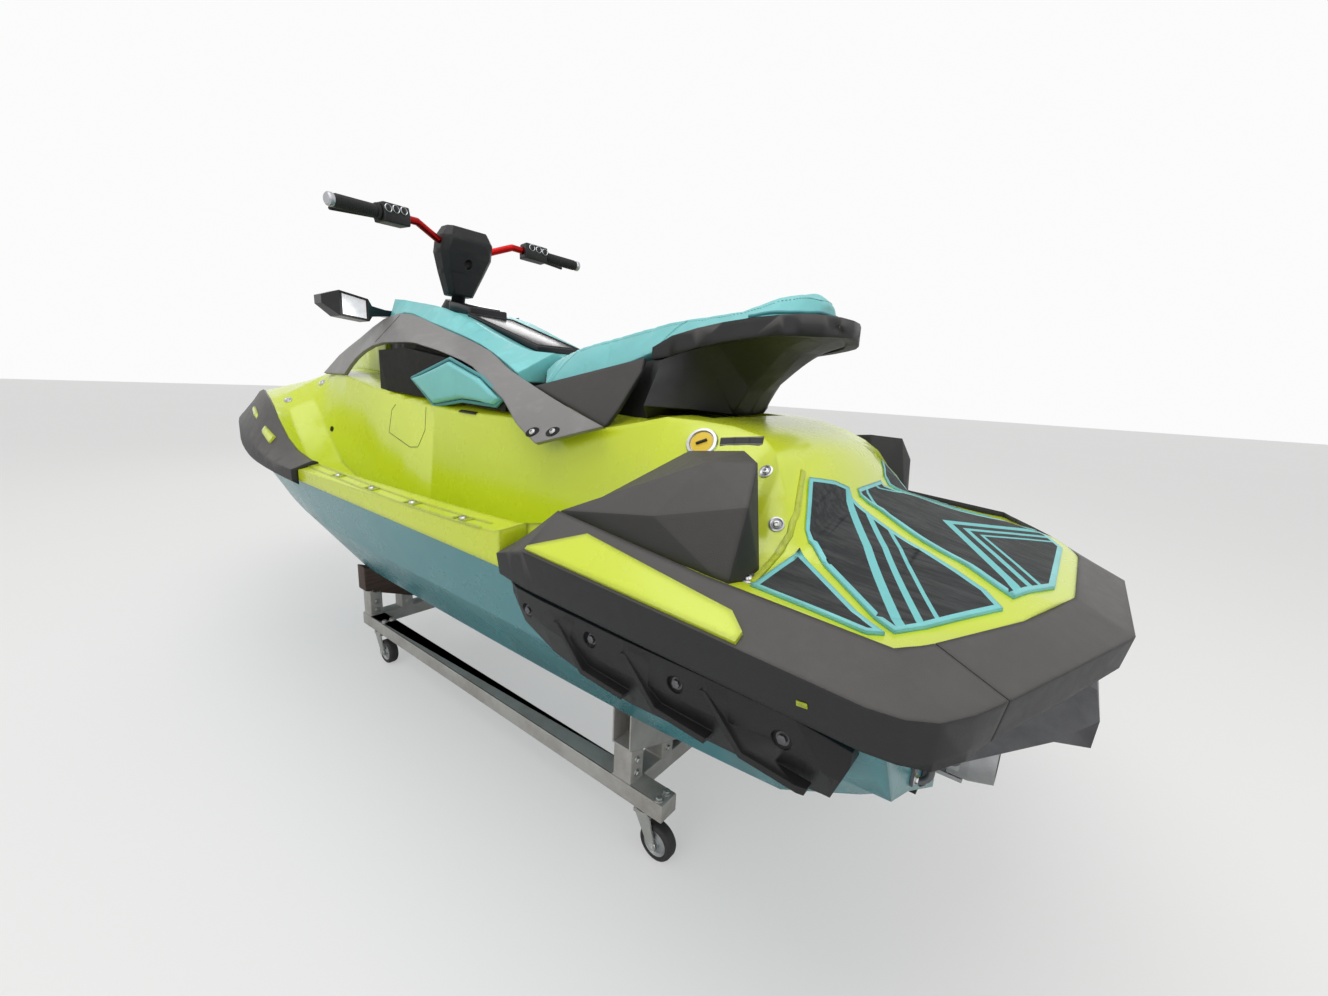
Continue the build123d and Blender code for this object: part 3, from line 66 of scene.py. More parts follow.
class Value:
    """A socket that takes part in arithmetic: every operator adds a Math node."""

    def __init__(self, net, socket):
        self.net = net
        self.socket = socket

    def math(self, operation, *inputs):
        return self.net.node("ShaderNodeMath", {"operation": operation}, *inputs)

    def __add__(self, other):
        return self.math("ADD", self, other)

    def __radd__(self, other):
        return self.math("ADD", other, self)

    def __sub__(self, other):
        return self.math("SUBTRACT", self, other)

    def __rsub__(self, other):
        return self.math("SUBTRACT", other, self)

    def __mul__(self, other):
        return self.math("MULTIPLY", self, other)

    def __rmul__(self, other):
        return self.math("MULTIPLY", other, self)

    def __lt__(self, other):
        return self.math("LESS_THAN", self, other)

    def __abs__(self):
        return self.math("ABSOLUTE", self)


class Net:
    """A node tree, with one way to add a node."""

    def __init__(self, tree):
        self.tree = tree

    def socket(self, sockets, key):
        """Socket by place, by identifier, or by name with _ for a space."""
        if isinstance(key, int):
            return sockets[key]
        return next(s for s in sockets if s.identifier == key or s.name == key.replace("_", " "))

    def feed(self, socket, value):
        """Links a value to a socket, or writes a constant there."""
        if isinstance(value, Value):
            self.tree.links.new(value.socket, socket)
        else:
            socket.default_value = (*value, 1) if socket.type == "RGBA" else value

    def node(self, kind, settings, *inputs, output=0, **named):
        """Adds a node, sets its settings, then fills or links its sockets."""
        made = self.tree.nodes.new(kind)
        for key, value in settings.items():
            if key == "stops":
                self.fill_ramp(made.color_ramp, value)
            else:
                setattr(made, key, value)
        for key, value in [*enumerate(inputs), *named.items()]:
            self.feed(self.socket(made.inputs, key), value)
        return Value(self, self.socket(made.outputs, output))

    def fill_ramp(self, ramp, stops):
        while len(ramp.elements) < len(stops):
            ramp.elements.new(0.5)
        for element, (position, shade) in zip(ramp.elements, stops):
            element.position = position
            element.color = (shade, shade, shade, 1)


class Finish(Net):
    """One procedural material built on the Principled shader."""

    def __init__(self, name, colour, roughness, **fixed):
        self.material = bpy.data.materials.new(name)
        self.material.use_nodes = True
        super().__init__(self.material.node_tree)
        self.shader = self.tree.nodes["Principled BSDF"]
        for key, value in {"Base Color": colour, "Roughness": roughness, **fixed}.items():
            self.link(key, value)
        self.place = self.node("ShaderNodeTexCoord", {}, output="Object")

    def link(self, key, value):
        self.feed(self.socket(self.shader.inputs, key), value)

    def noise(self, scale, detail=2.0, roughness=0.5, where=None):
        return self.node("ShaderNodeTexNoise", {}, Vector=where or self.place, Scale=scale, Detail=detail,
                         Roughness=roughness)

    def cells(self, scale, feature="F1"):
        return self.node("ShaderNodeTexVoronoi", {"feature": feature}, Vector=self.place, Scale=scale)

    def ramp(self, value, *stops):
        return self.node("ShaderNodeValToRGB", {"stops": stops}, value)

    def stretched(self, x, y, z):
        return self.node("ShaderNodeMapping", {}, Vector=self.place, Scale=(x, y, z))

    def axis(self, name):
        return self.node("ShaderNodeSeparateXYZ", {}, self.place, output=name)

    def upward(self):
        """How far the surface looks up, from -1 to 1."""
        facing = self.node("ShaderNodeTexCoord", {}, output="Normal")
        return self.node("ShaderNodeSeparateXYZ", {}, facing, output="Z")

    def blend(self, factor, first, second):
        """Mix of two colours or colour sockets."""
        return self.node("ShaderNodeMix", {"data_type": "RGBA"}, output="Result_Color", Factor_Float=factor,
                         A_Color=first, B_Color=second)

    def paint(self, factor, first, second):
        self.link("Base Color", self.blend(factor, first, second))

    def bump(self, height, distance, edge=0.0):
        """Fine relief; an edge radius also softens the form's edges."""
        soft = {"Normal": self.node("ShaderNodeBevel", {"samples": 4}, Radius=edge)} if edge else {}
        self.link("Normal", self.node("ShaderNodeBump", {}, Height=height, Distance=distance, Strength=1.0, **soft))

    def rub_marks(self):
        return self.ramp(self.noise(14, 6, 0.65), (0.5, 0.0), (0.72, 1.0)) * 0.6

    def pebble(self, roughness, grain, depth, edge):
        """Pebbled grain of moulded plastic, with an uneven sheen."""
        self.link("Roughness", self.noise(60, 3) * 0.14 + (roughness - 0.07))
        self.bump(self.cells(grain) + self.noise(grain * 0.6, 2) * 0.6, depth, edge)


def gelcoat(name, colour, shade, coat=0.45, edge=0.016):
    """Glossy hull paint: slight tone drift, fine orange peel and light handling haze."""
    finish = Finish(name, colour, 0.24, Coat_Weight=coat, Coat_Roughness=0.14)
    drift = finish.ramp(finish.noise(1.6, 3), (0.35, 0.0), (0.7, 1.0))
    finish.paint(drift, colour, shade)
    haze = finish.ramp(finish.noise(9, 5, 0.6), (0.4, 0.0), (0.75, 1.0))
    finish.link("Roughness", haze * 0.06 + 0.26)
    finish.bump(finish.noise(420, 1), 0.00012, edge)
    return finish.material


def moulded(name, colour, roughness, grain=700, depth=0.0002, edge=0.0):
    """Moulded plastic with a pebbled grain and pale rub marks."""
    finish = Finish(name, colour, roughness, Specular_IOR_Level=0.32)
    pale = tuple(min(1, c * 1.35 + 0.006) for c in colour)
    finish.paint(finish.rub_marks(), colour, pale)
    finish.pebble(roughness, grain, depth, edge)
    return finish.material


def painted_light_plastic(name, top, under, roughness, edge):
    """Bumper plastic with painted light: faces that look up take the lighter top colour, the ones beneath a dark
    painted shade.
    """
    finish = Finish(name, top, roughness, Specular_IOR_Level=0.32)
    pale = tuple(c * 1.25 for c in top)
    # Painted light: upward faces get the top colour with its rub marks, downward faces the dark painted shade
    painted_light_mask = finish.ramp(finish.upward(), (0.05, 0.0), (0.7, 1.0))
    finish.paint(painted_light_mask, under, finish.blend(finish.rub_marks(), top, pale))
    finish.pebble(roughness, 700, 0.0002, edge)
    return finish.material


def vinyl(name, colour):
    """Padded marine vinyl: leather-like grain, soft sheen, faint handling tone."""
    finish = Finish(name, colour, 0.5, Sheen_Weight=0.15, Sheen_Roughness=0.4)
    deep = tuple(c * 0.86 for c in colour)
    finish.paint(finish.ramp(finish.noise(6, 4, 0.6), (0.35, 0.0), (0.7, 1.0)), colour, deep)
    finish.link("Roughness", finish.noise(30, 4) * 0.16 + 0.4)
    finish.bump(finish.cells(900, "SMOOTH_F1") + finish.noise(1500, 2) * 0.4, 0.00025)
    return finish.material


# Chevron bars on the mats: distance aft along the swept line, and half width, in metres
MAT_SWEEP = 0.62
MAT_BARS = [(1.080, 0.0075), (1.112, 0.0055), (1.140, 0.0035), (1.300, 0.009), (1.332, 0.006), (1.358, 0.004)]


def streaked_mat(name, colour, pale, mark):
    """Closed-cell foam with fine fore-and-aft grooves and a few plain chevron bars."""
    finish = Finish(name, colour, 0.75)
    grain = finish.noise(22, 5, 0.7, finish.stretched(0.16, 3.2, 3.2))
    lines = finish.ramp(grain, (0.44, 0.0), (0.62, 1.0))
    swept = 0 - finish.axis("X") - abs(finish.axis("Y")) * MAT_SWEEP
    bars = 0
    for middle, half in MAT_BARS:
        bars = (abs(swept - middle) < half) + bars
    finish.paint(bars, finish.blend(lines * 0.55, colour, pale), mark)
    finish.bump(lines + finish.noise(900, 2) * 0.2, 0.0006)
    return finish.material


def metal(name, colour, roughness, scratch=(1, 1, 1), depth=0.00004):
    """Bare or coated metal with dull patches; scratch stretches its fine lines along the axes."""
    finish = Finish(name, colour, roughness, Metallic=1.0)
    dull = tuple(c * 0.72 for c in colour)
    finish.paint(finish.ramp(finish.noise(18, 6, 0.62), (0.4, 0.0), (0.75, 1.0)), colour, dull)
    finish.link("Roughness", finish.noise(50, 5, 0.7, finish.stretched(*scratch)) * 0.3 + (roughness - 0.1))
    finish.bump(finish.noise(300, 4, 0.7, finish.stretched(*scratch)), depth)
    return finish.material


def plank(name, dark, light):
    """Stained wood, its grain along Y."""
    finish = Finish(name, dark, 0.65)
    rings = finish.noise(40, 6, 0.6, finish.stretched(4, 0.25, 4))
    finish.paint(finish.ramp(rings, (0.3, 0.0), (0.7, 1.0)), dark, light)
    finish.link("Roughness", rings * 0.3 + 0.5)
    finish.bump(rings + finish.noise(400, 3) * 0.3, 0.0006)
    return finish.material


def dulled_alloy(name, colour, stain):
    """Painted alloy with shop wear: grime in patches, fine drawn lines."""
    finish = Finish(name, colour, 0.45, Metallic=0.25)
    grime = finish.ramp(finish.noise(7, 8, 0.7), (0.42, 0.0), (0.68, 1.0))
    finish.paint(grime * 0.7, colour, stain)
    finish.link("Roughness", grime * 0.2 + 0.38)
    finish.bump(finish.noise(120, 4, 0.6, finish.stretched(0.1, 2, 2)), 0.0002)
    return finish.material


LIME = (0.59, 0.69, 0.022)
TEAL = (0.022, 0.215, 0.245)
AQUA = (0.185, 0.54, 0.545)

finishes = {
    "lime": gelcoat("lime gelcoat", LIME, (0.55, 0.65, 0.016)),
    "teal": gelcoat("teal gelcoat", TEAL, (0.018, 0.185, 0.215), 0.25),
    "aqua": moulded("aqua moulding", AQUA, 0.32, 900, 0.00005, 0.006),
    "vinyl": vinyl("aqua vinyl", AQUA),
    "deep_vinyl": vinyl("deep aqua vinyl", (0.055, 0.27, 0.29)),
    "thread": moulded("seam thread", (0.03, 0.16, 0.18), 0.6, 2500, 0.0001),
    # Charcoal's second colour is painted shade on faces that look down; faces that look up stay lighter as painted
    # light
    "charcoal": painted_light_plastic("charcoal bumper", (0.074, 0.069, 0.065), (0.020, 0.020, 0.021), 0.5, 0.012),
    "black": moulded("black plastic", (0.012, 0.012, 0.013), 0.45, 700, 0.0002, 0.003),
    "gloss": moulded("gloss black", (0.008, 0.008, 0.010), 0.2, 300, 0.00003),
    "grey": moulded("warm grey arch", (0.200, 0.194, 0.190), 0.4, 900, 0.00006, 0.005),
    "mat": streaked_mat("grooved foam", (0.008, 0.009, 0.010), (0.06, 0.065, 0.065), AQUA),
    "rubber": moulded("grip rubber", (0.014, 0.014, 0.015), 0.7),
    "tyre": moulded("hard tread", (0.030, 0.028, 0.028), 0.6, 300, 0.0004),
    "dark": moulded("recess black", (0.004, 0.004, 0.004), 0.7),
    "silver": metal("silver paint", (0.50, 0.51, 0.53), 0.3),
    "yellow": moulded("yellow inlay", (0.72, 0.50, 0.03), 0.35),
    "glass_dark": moulded("display glass", (0.010, 0.012, 0.014), 0.12, 100, 0.000001),
    "glass": metal("mirror glass", (0.78, 0.80, 0.82), 0.14, (1, 1, 1), 0.000002),
    "alloy": dulled_alloy("worn alloy", (0.42, 0.41, 0.39), (0.24, 0.21, 0.18)),
    "casting": metal("cast alloy", (0.42, 0.43, 0.44), 0.5, (1, 1, 1), 0.0004),
    # Dark metal of bolts and tow eyes; on the raised bucket its darkness is partly painted shade under the stern
    # bumper, the rest dark metal and brackets
    "dark_metal": metal("coated casting", (0.16, 0.16, 0.17), 0.5, (1, 1, 1), 0.0003),
    "steel": metal("stainless steel", (0.60, 0.60, 0.60), 0.28, (3, 1, 1)),
    "zinc": metal("zinc plate", (0.50, 0.50, 0.48), 0.45),
    "red": metal("red anodised tube", (0.42, 0.012, 0.012), 0.25, (0.3, 0.3, 2)),
    "plank": plank("stained plank", (0.028, 0.017, 0.013), (0.085, 0.050, 0.036)),
}


# Shapes

WELD = 0.00003
FLAT_ANGLE = math.radians(0.5)


def merged(*sources):
    """The named nodes' surfaces as one shape, its loose triangles joined."""
    form = bmesh.new()
    for source in sources:
        form.from_mesh(nodes[source].data)
    bmesh.ops.remove_doubles(form, verts=form.verts[:], dist=WELD)
    return form


def flattened(form):
    """The shape with its flat faces whole."""
    bmesh.ops.dissolve_limit(form, angle_limit=FLAT_ANGLE, use_dissolve_boundaries=False, verts=form.verts[:],
                             edges=form.edges[:], delimit=set())
    return form


def linked(name, data):
    """New object in the scene."""
    piece = bpy.data.objects.new(name, data)
    bpy.context.scene.collection.objects.link(piece)
    return piece


def finished(name, form, finish, body="craft", hidden=(), crease=30):
    """A piece from a shape: its finish, its body and the nodes it stands for."""
    mesh = bpy.data.meshes.new(name)
    form.normal_update()
    form.to_mesh(mesh)
    form.free()
    piece = linked(name, mesh)
    for one in ((finish,) if isinstance(finish, str) else finish):
        mesh.materials.append(finishes[one])
    mesh.shade_smooth()
    if crease:
        mesh.set_sharp_from_angle(angle=math.radians(crease))
    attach(piece, body)
    if hidden:
        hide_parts(*hidden)
    return piece


def round_edges(piece, width, angle):
    """Bevelled edges wherever two faces meet at more than the angle."""
    rounding = piece.modifiers.new("rounded edges", "BEVEL")
    rounding.limit_method = "ANGLE"
    rounding.angle_limit = math.radians(angle)
    rounding.width = width
    rounding.segments = 3
    rounding.use_clamp_overlap = False
    rounding.harden_normals = True


def turned(profile, segments=24):
    """Closed shape spun about +Z from (radius, height) points."""
    form = bmesh.new()
    points = [form.verts.new((r, 0, z)) for r, z in profile]
    edges = [form.edges.new(pair) for pair in zip(points, points[1:])]
    bmesh.ops.spin(form, geom=points + edges, cent=(0, 0, 0), axis=(0, 0, 1), angle=2 * math.pi,
                   steps=segments, use_merge=True)
    bmesh.ops.remove_doubles(form, verts=form.verts[:], dist=0.00001)
    bmesh.ops.recalc_face_normals(form, faces=form.faces[:])
    return form


def chamfer(form, edge):
    """Bevels every edge of a plain form."""
    bmesh.ops.bevel(form, geom=form.edges[:], offset=edge, affect="EDGES", segments=2, profile=0.5, material=-1)


def slab(length, width, height, edge):
    """Chamfered box on the floor of its own frame."""
    form = bmesh.new()
    bmesh.ops.create_cube(form, size=1)
    bmesh.ops.scale(form, vec=(length, width, height), verts=form.verts[:])
    bmesh.ops.translate(form, vec=(0, 0, height / 2), verts=form.verts[:])
    chamfer(form, edge)
    return form


def prism(outline, height, edge):
    """Plate of a plan outline (x, y), from z 0 up."""
    form = bmesh.new()
    face = form.faces.new([form.verts.new((x, y, 0)) for x, y in outline])
    made = bmesh.ops.extrude_face_region(form, geom=[face])
    top = [v for v in made["geom"] if isinstance(v, bmesh.types.BMVert)]
    bmesh.ops.translate(form, vec=(0, 0, height), verts=top)
    bmesh.ops.recalc_face_normals(form, faces=form.faces[:])
    chamfer(form, edge)
    return form


def gather(target, form, spot=None):
    """Copies a shape into the target, moved by a matrix where one is given."""
    mesh = bpy.data.meshes.new("gathered")
    form.to_mesh(mesh)
    if spot:
        mesh.transform(spot)
    target.from_mesh(mesh)
    bpy.data.meshes.remove(mesh)


def set_down(target, form, place, normal=(0, 0, 1), turn=0.0, scale=1.0):
    """Copies a shape into the target at a place, its +Z along the normal."""
    facing = Vector(normal).to_track_quat("Z", "Y").to_matrix().to_4x4()
    gather(target, form, Matrix.Translation(place) @ facing @ Matrix.Rotation(turn, 4, "Z") @ Matrix.Scale(scale, 4))


def tube(points, radius, sides, smooth=False):
    """Round bar along a path."""
    curve = bpy.data.curves.new("path", "CURVE")
    curve.dimensions = "3D"
    curve.bevel_depth = radius
    curve.bevel_resolution = max(1, (sides - 4) // 2)
    curve.use_fill_caps = True
    spline = curve.splines.new("NURBS" if smooth else "POLY")
    spline.points.add(len(points) - 1)
    for knot, point in zip(spline.points, points):
        knot.co = (*point, 1)
    if smooth:
        spline.order_u = 3
        spline.use_endpoint_u = True
    curve.resolution_u = 6
    holder = bpy.data.objects.new("path", curve)
    mesh = bpy.data.meshes.new_from_object(holder)
    form = bmesh.new()
    form.from_mesh(mesh)
    bmesh.ops.remove_doubles(form, verts=form.verts[:], dist=0.00001)
    bpy.data.objects.remove(holder)
    bpy.data.curves.remove(curve)
    bpy.data.meshes.remove(mesh)
    return form


def other_hand(points):
    """The same points on the craft's other side."""
    return [(x, -y, z) for x, y, z in points]


def both_hands(points):
    """Each point with its twin on the other side."""
    return points + other_hand(points)


def search_tree(mesh):
    """Tree that finds the nearest place on a mesh."""
    form = bmesh.new()
    form.from_mesh(mesh)
    tree = BVHTree.FromBMesh(form)
    form.free()
    return tree


surfaces = {}


def surface(name):
    """Search tree of a node's surface."""
    if name not in surfaces:
        surfaces[name] = search_tree(nodes[name].data)
    return surfaces[name]


def on_surface(name, point):
    """Nearest place on a node, with the surface's normal there."""
    place, normal, _, _ = surface(name).find_nearest(Vector(point))
    return place, normal


def seat_on(target, form, node, point, lift=0.0, turn=0.0, scale=1.0):
    """Sets a shape down on a node's surface, nearest to a point."""
    place, normal = on_surface(node, point)
    set_down(target, form, place + normal * lift, normal, turn, scale)


def struck(name, start, way):
    """Place and normal where a ray first meets a node, or None for both."""
    place, normal, _, _ = surface(name).ray_cast(Vector(start), Vector(way))
    return place, normal


def dropped(name, x, y, top=2.0):
    """Place and normal straight below a point in plan."""
    return struck(name, (x, y, top), (0, 0, -1))


# Mouldings: piece, its nodes, bevel width (0 for none), angle from which an edge is bevelled or sharp, finish
MOULDINGS = [
    ("lower_hull", ("hull",), 0.0, 20, "teal"),
    ("side_bumper_mouldings", ("side_bumpers",), 0.0, 22, "charcoal"),
    ("stern_bumper_moulding", ("stern_bumper",), 0.0, 22, "charcoal"),
    ("bow_bumper_mouldings", ("bow_bumper",), 0.0, 22, "charcoal"),
    ("bumper_inserts", ("bumper_strips",), 0.0, 22, "lime"),
    ("sponson_mouldings", ("sponsons",), 0.0, 10, "black"),
    ("foot_wedge_mouldings", ("foot_wedges",), 0.0, 20, "charcoal"),
    ("bow_hood", ("hood",), 0.0, 20, "lime"),
    ("cowl_wings", ("cowl_top",), 0.0, 22, "aqua"),
    ("cowl_inner", ("cowl_core",), 0.0, 30, "black"),
    ("arch_mouldings", ("side_arches",), 0.0, 30, "grey"),
    ("intake_mouldings", ("intake_panels",), 0.0, 30, "dark"),
    ("seat_base", ("seat_shell",), 0.0, 22, "black"),
    ("seat_grab_band", ("grab_band",), 0.0, 30, "charcoal"),
    ("seat_side_covers", ("side_covers",), 0.0, 25, "charcoal"),
    ("console_cover", ("console_lid",), 0.004, 25, "gloss"),
    ("instrument_housing", ("dash",), 0.005, 25, "gloss"),
    ("steering_boot", ("column_boot",), 0.0, 30, "black"),
    ("bar_riser_housing", ("bar_riser",), 0.0, 25, "black"),
    ("switch_housings", ("bar_controls",), 0.004, 25, "black"),
    ("dolly_rails", ("dolly_frame",), 0.003, 30, "alloy"),
    ("wood_bunk", ("front_bunk",), 0.003, 30, "plank"),
    # The bucket's dark metal is partly painted shade cast by the stern bumper above it
    ("raised_bucket", ("reverse_bucket",), 0.0, 30, "dark_metal"),
]
# Where the two decks meet, and the angle from which a deck edge is sharp
DECK_JOINT = 0.54
DECK_CREASE = 11


def make_mouldings():
    """Pieces that keep their nodes' form, cleaned and finished."""
    for name, sources, width, angle, finish in MOULDINGS:
        form = merged(*sources)
        if width:
            piece = finished(name, flattened(form), finish, body_of[sources[0]], sources, crease=0)
            round_edges(piece, width, angle)
        else:
            finished(name, form, finish, body_of[sources[0]], sources, crease=angle)


def make_deck():
    """Fore and aft deck as one moulding, with no seam at their joint."""
    form = merged("deck", "foredeck")
    seam = [f for f in form.faces if all(abs(v.co.x - DECK_JOINT) < 0.0001 for v in f.verts)]
    bmesh.ops.delete(form, geom=seam, context="FACES_ONLY")
    stray = [e for e in form.edges if not e.link_faces]
    bmesh.ops.delete(form, geom=stray, context="EDGES")
    finished("deck_moulding", form, "lime", "craft", ("deck", "foredeck"), crease=DECK_CREASE)


# Padded pieces

def take_modifiers(piece):
    """Gives a piece the mesh that its modifiers make."""
    graph = bpy.context.evaluated_depsgraph_get()
    made = bpy.data.meshes.new_from_object(piece.evaluated_get(graph), depsgraph=graph)
    old = piece.data
    piece.modifiers.clear()
    piece.data = made
    bpy.data.meshes.remove(old)


def soften(piece, rounds, shrink):
    """Rounds off the remeshed shape and draws it in a little."""
    form = bmesh.new()
    form.from_mesh(piece.data)
    for _ in range(rounds):
        bmesh.ops.smooth_vert(form, verts=form.verts[:], factor=0.5, use_axis_x=True, use_axis_y=True,
                              use_axis_z=True)
    form.normal_update()
    inward = [(v, v.normal.copy()) for v in form.verts]
    for vert, normal in inward:
        vert.co -= normal * shrink
    form.to_mesh(piece.data)
    form.free()


CLOTH_STEPS = 20


def swell(piece, pressure, cap):
    """Lets the cover swell under a light pressure and keeps each point within a cap."""
    scene = bpy.context.scene
    start = [v.co.copy() for v in piece.data.vertices]
    cloth = piece.modifiers.new("cover", "CLOTH")
    cloth.settings.use_pressure = True
    cloth.settings.uniform_pressure_force = pressure
    cloth.settings.effector_weights.gravity = 0
    cloth.point_cache.frame_start = 1
    cloth.point_cache.frame_end = CLOTH_STEPS
    for step in range(1, CLOTH_STEPS + 1):
        scene.frame_set(step)
    take_modifiers(piece)
    scene.frame_set(1)
    for vert, before in zip(piece.data.vertices, start):
        moved = vert.co - before
        if moved.length > cap:
            vert.co = before + moved * (cap / moved.length)


def sampled(line, step=0.002):
    """Points evenly spaced along a polyline."""
    found = []
    for a, b in zip(line, line[1:]):
        a, b = Vector(a), Vector(b)
        count = max(1, round((b - a).length / step))
        found += [a.lerp(b, i / count) for i in range(count)]
    return found + [Vector(line[-1])]


def eased(line, rounds=3):
    """Polyline with its corners cut by repeated midpoints."""
    points = [Vector(p) for p in line]
    for _ in range(rounds):
        cut = [points[0]]
        for a, b in zip(points, points[1:]):
            cut += [a.lerp(b, 0.25), a.lerp(b, 0.75)]
        points = cut + [points[-1]]
    return points


def press_seams(piece, lines, depth, reach):
    """Draws the cover in along its seams."""
    points = [p for line in lines for p in sampled(line)]
    tree = KDTree(len(points))
    for i, point in enumerate(points):
        tree.insert(point, i)
    tree.balance()
    form = bmesh.new()
    form.from_mesh(piece.data)
    form.normal_update()
    for vert in form.verts:
        _, _, distance = tree.find(vert.co)
        if distance < reach:
            vert.co -= vert.normal * depth * math.cos(distance / reach * math.pi / 2) ** 2
    form.to_mesh(piece.data)
    form.free()


def pad(name, source, voxel, rounds, shrink, pressure, cap):
    """Padded vinyl cover from a node: remeshed, softened, swollen and smoothed."""
    piece = finished(name, merged(source), "vinyl", body_of[source], (source,), crease=0)
    remesh = piece.modifiers.new("voxels", "REMESH")
    remesh.mode = "VOXEL"
    remesh.voxel_size = voxel
    remesh.use_smooth_shade = True
    take_modifiers(piece)
    soften(piece, rounds, shrink)
    swell(piece, pressure, cap)
    finer = piece.modifiers.new("finer", "SUBSURF")
    finer.levels = 1
    finer.render_levels = 1
    take_modifiers(piece)
    piece.data.shade_smooth()
    return piece


def stitches(piece, lines, spacing, length, radius, offset):
    """Thread stitches beside each seam, lying on the cover."""
    tree = search_tree(piece.data)
    thread = turned([(0, 0), (radius, radius), (radius, length - radius), (0, length)], 6)
    sewn = bmesh.new()
    for line in lines:
        points = sampled(line, spacing)
        for a, b in zip(points, points[1:]):
            _, normal, _, _ = tree.find_nearest(a)
            along = (b - a).normalized()
            aside = along.cross(normal).normalized() * offset
            place, normal, _, _ = tree.find_nearest(a + aside)
            set_down(sewn, thread, place + normal * radius * 0.3, along)
    thread.free()
    finished(piece.name + "_stitches", sewn, "thread", piece["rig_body"])


PIPING_SINK = 0.3


def piping(piece, line, radius, finish, name):
    """Round welt laid along a line of the cover."""
    tree = search_tree(piece.data)
    points = []
    for point in sampled(line, 0.012):
        place, normal, _, _ = tree.find_nearest(point)
        points.append(place + normal * radius * (1 - PIPING_SINK))
    finished(name, tube(points, radius, 8, smooth=True), finish, piece["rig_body"])


# Seams of the seat's port half, front to tail
SEAT_RIDGE = [(-0.470, 0.152, 1.037), (-0.600, 0.153, 1.060), (-0.740, 0.153, 1.086), (-0.900, 0.132, 1.107),
              (-0.975, 0.101, 1.135), (-1.013, 0.064, 1.146), (-1.030, 0.030, 1.146)]
SEAT_FRONT_SEAM = [(-0.418, 0.205, 0.945), (-0.432, 0.192, 0.975), (-0.448, 0.168, 1.012), (-0.470, 0.152, 1.037)]
SEAT_SIDE_SEAM = [(-0.790, 0.148, 1.094), (-0.765, 0.172, 1.062), (-0.735, 0.198, 1.028)]
SADDLE_SEAM = [(-0.415, 0.205, 0.955), (-0.418, 0.142, 1.018), (-0.420, 0.080, 1.026), (-0.422, 0.0, 1.028)]
REAR_INSET = [(-0.930, 0.142, 1.100), (-0.985, 0.118, 1.106), (-1.020, 0.080, 1.108), (-1.036, 0.040, 1.112)]
# The ridge's last stretch, across the seat's tail
TAIL_SEAM = [(-1.030, 0.030, 1.146), (-1.033, 0.0, 1.146), (-1.030, -0.030, 1.146)]


def make_seat():
    """Seat cover with pressed and stitched seams, and piping round its tail."""
    seat = pad("seat_cushion_cover", "seat_cushion", voxel=0.006, rounds=6, shrink=0.003, pressure=4.0, cap=0.006)
    port = [eased(SEAT_FRONT_SEAM[:-1] + SEAT_RIDGE), eased(SEAT_SIDE_SEAM), eased(SADDLE_SEAM)]
    lines = port + [other_hand(line) for line in port] + [TAIL_SEAM]
    press_seams(seat, lines, depth=0.0035, reach=0.008)
    stitches(seat, lines, spacing=0.0062, length=0.0042, radius=0.0006, offset=0.0035)
    welt = [tuple(p) for p in eased(REAR_INSET)]
    piping(seat, welt + other_hand(reversed(welt)), 0.0032, "deep_vinyl", "seat_rear_piping")


# Knee pad's outline in x and z, and where its welt lies
KNEE_PAD = [(0.047, 0.945), (-0.154, 1.000), (-0.295, 0.958), (-0.381, 0.909), (-0.352, 0.891), (-0.207, 0.895),
            (-0.070, 0.874)]
KNEE_PAD_MIDDLE = Vector((-0.2, 0, 0.935))
KNEE_PAD_FOOT = 0.3005
WELT_INSET = 0.001
WELT_RADIUS = 0.0045


def make_knee_pads():
    """Padded knee rests in the side arches, with a welt round each."""
    pad("knee_pad_covers", "knee_pads", voxel=0.0035, rounds=3, shrink=0.001, pressure=3.0, cap=0.0035)
    for hand, side in (("port", 1), ("starboard", -1)):
        loop = []
        for x, z in KNEE_PAD + KNEE_PAD[:1]:
            corner = Vector((x, side * KNEE_PAD_FOOT, z))
            drawn = corner + (KNEE_PAD_MIDDLE - corner).normalized() * WELT_INSET
            loop.append((drawn.x, side * KNEE_PAD_FOOT, drawn.z))
        finished(f"knee_pad_welt_{hand}", tube(loop, WELT_RADIUS, 8), "deep_vinyl")


MAT_BORDER = 0.0085
LOOKS_UP = 0.3


def make_mats():
    """Foam mats with a pale border line."""
    form = flattened(merged("deck_mats"))
    form.normal_update()
    tops = [f for f in form.faces if f.normal.z > LOOKS_UP]
    rim = bmesh.ops.inset_region(form, faces=tops, thickness=MAT_BORDER, depth=0.0, use_even_offset=True,
                                 use_boundary=True)["faces"]
    for face in rim + [f for f in form.faces if f.normal.z < LOOKS_UP]:
        face.material_index = 1
    finished("foam_mats", form, ("mat", "aqua"), "craft", ("deck_mats",), crease=25)


# Small fittings

def lofted(sections):
    """Closed bar through a row of equal sections."""
    form = bmesh.new()
    face = form.faces.new([form.verts.new(p) for p in sections[0]])
    last = sections[0]
    for section in sections[1:]:
        made = bmesh.ops.extrude_face_region(form, geom=[face])["geom"]
        for vert in [v for v in made if isinstance(v, bmesh.types.BMVert)]:
            index = min(range(len(last)), key=lambda i: (vert.co - Vector(last[i])).length)
            vert.co = section[index]
        face = next(f for f in made if isinstance(f, bmesh.types.BMFace))
        last = section
    bmesh.ops.recalc_face_normals(form, faces=form.faces[:])
    return form


STRIP_SHOULDER = 0.72


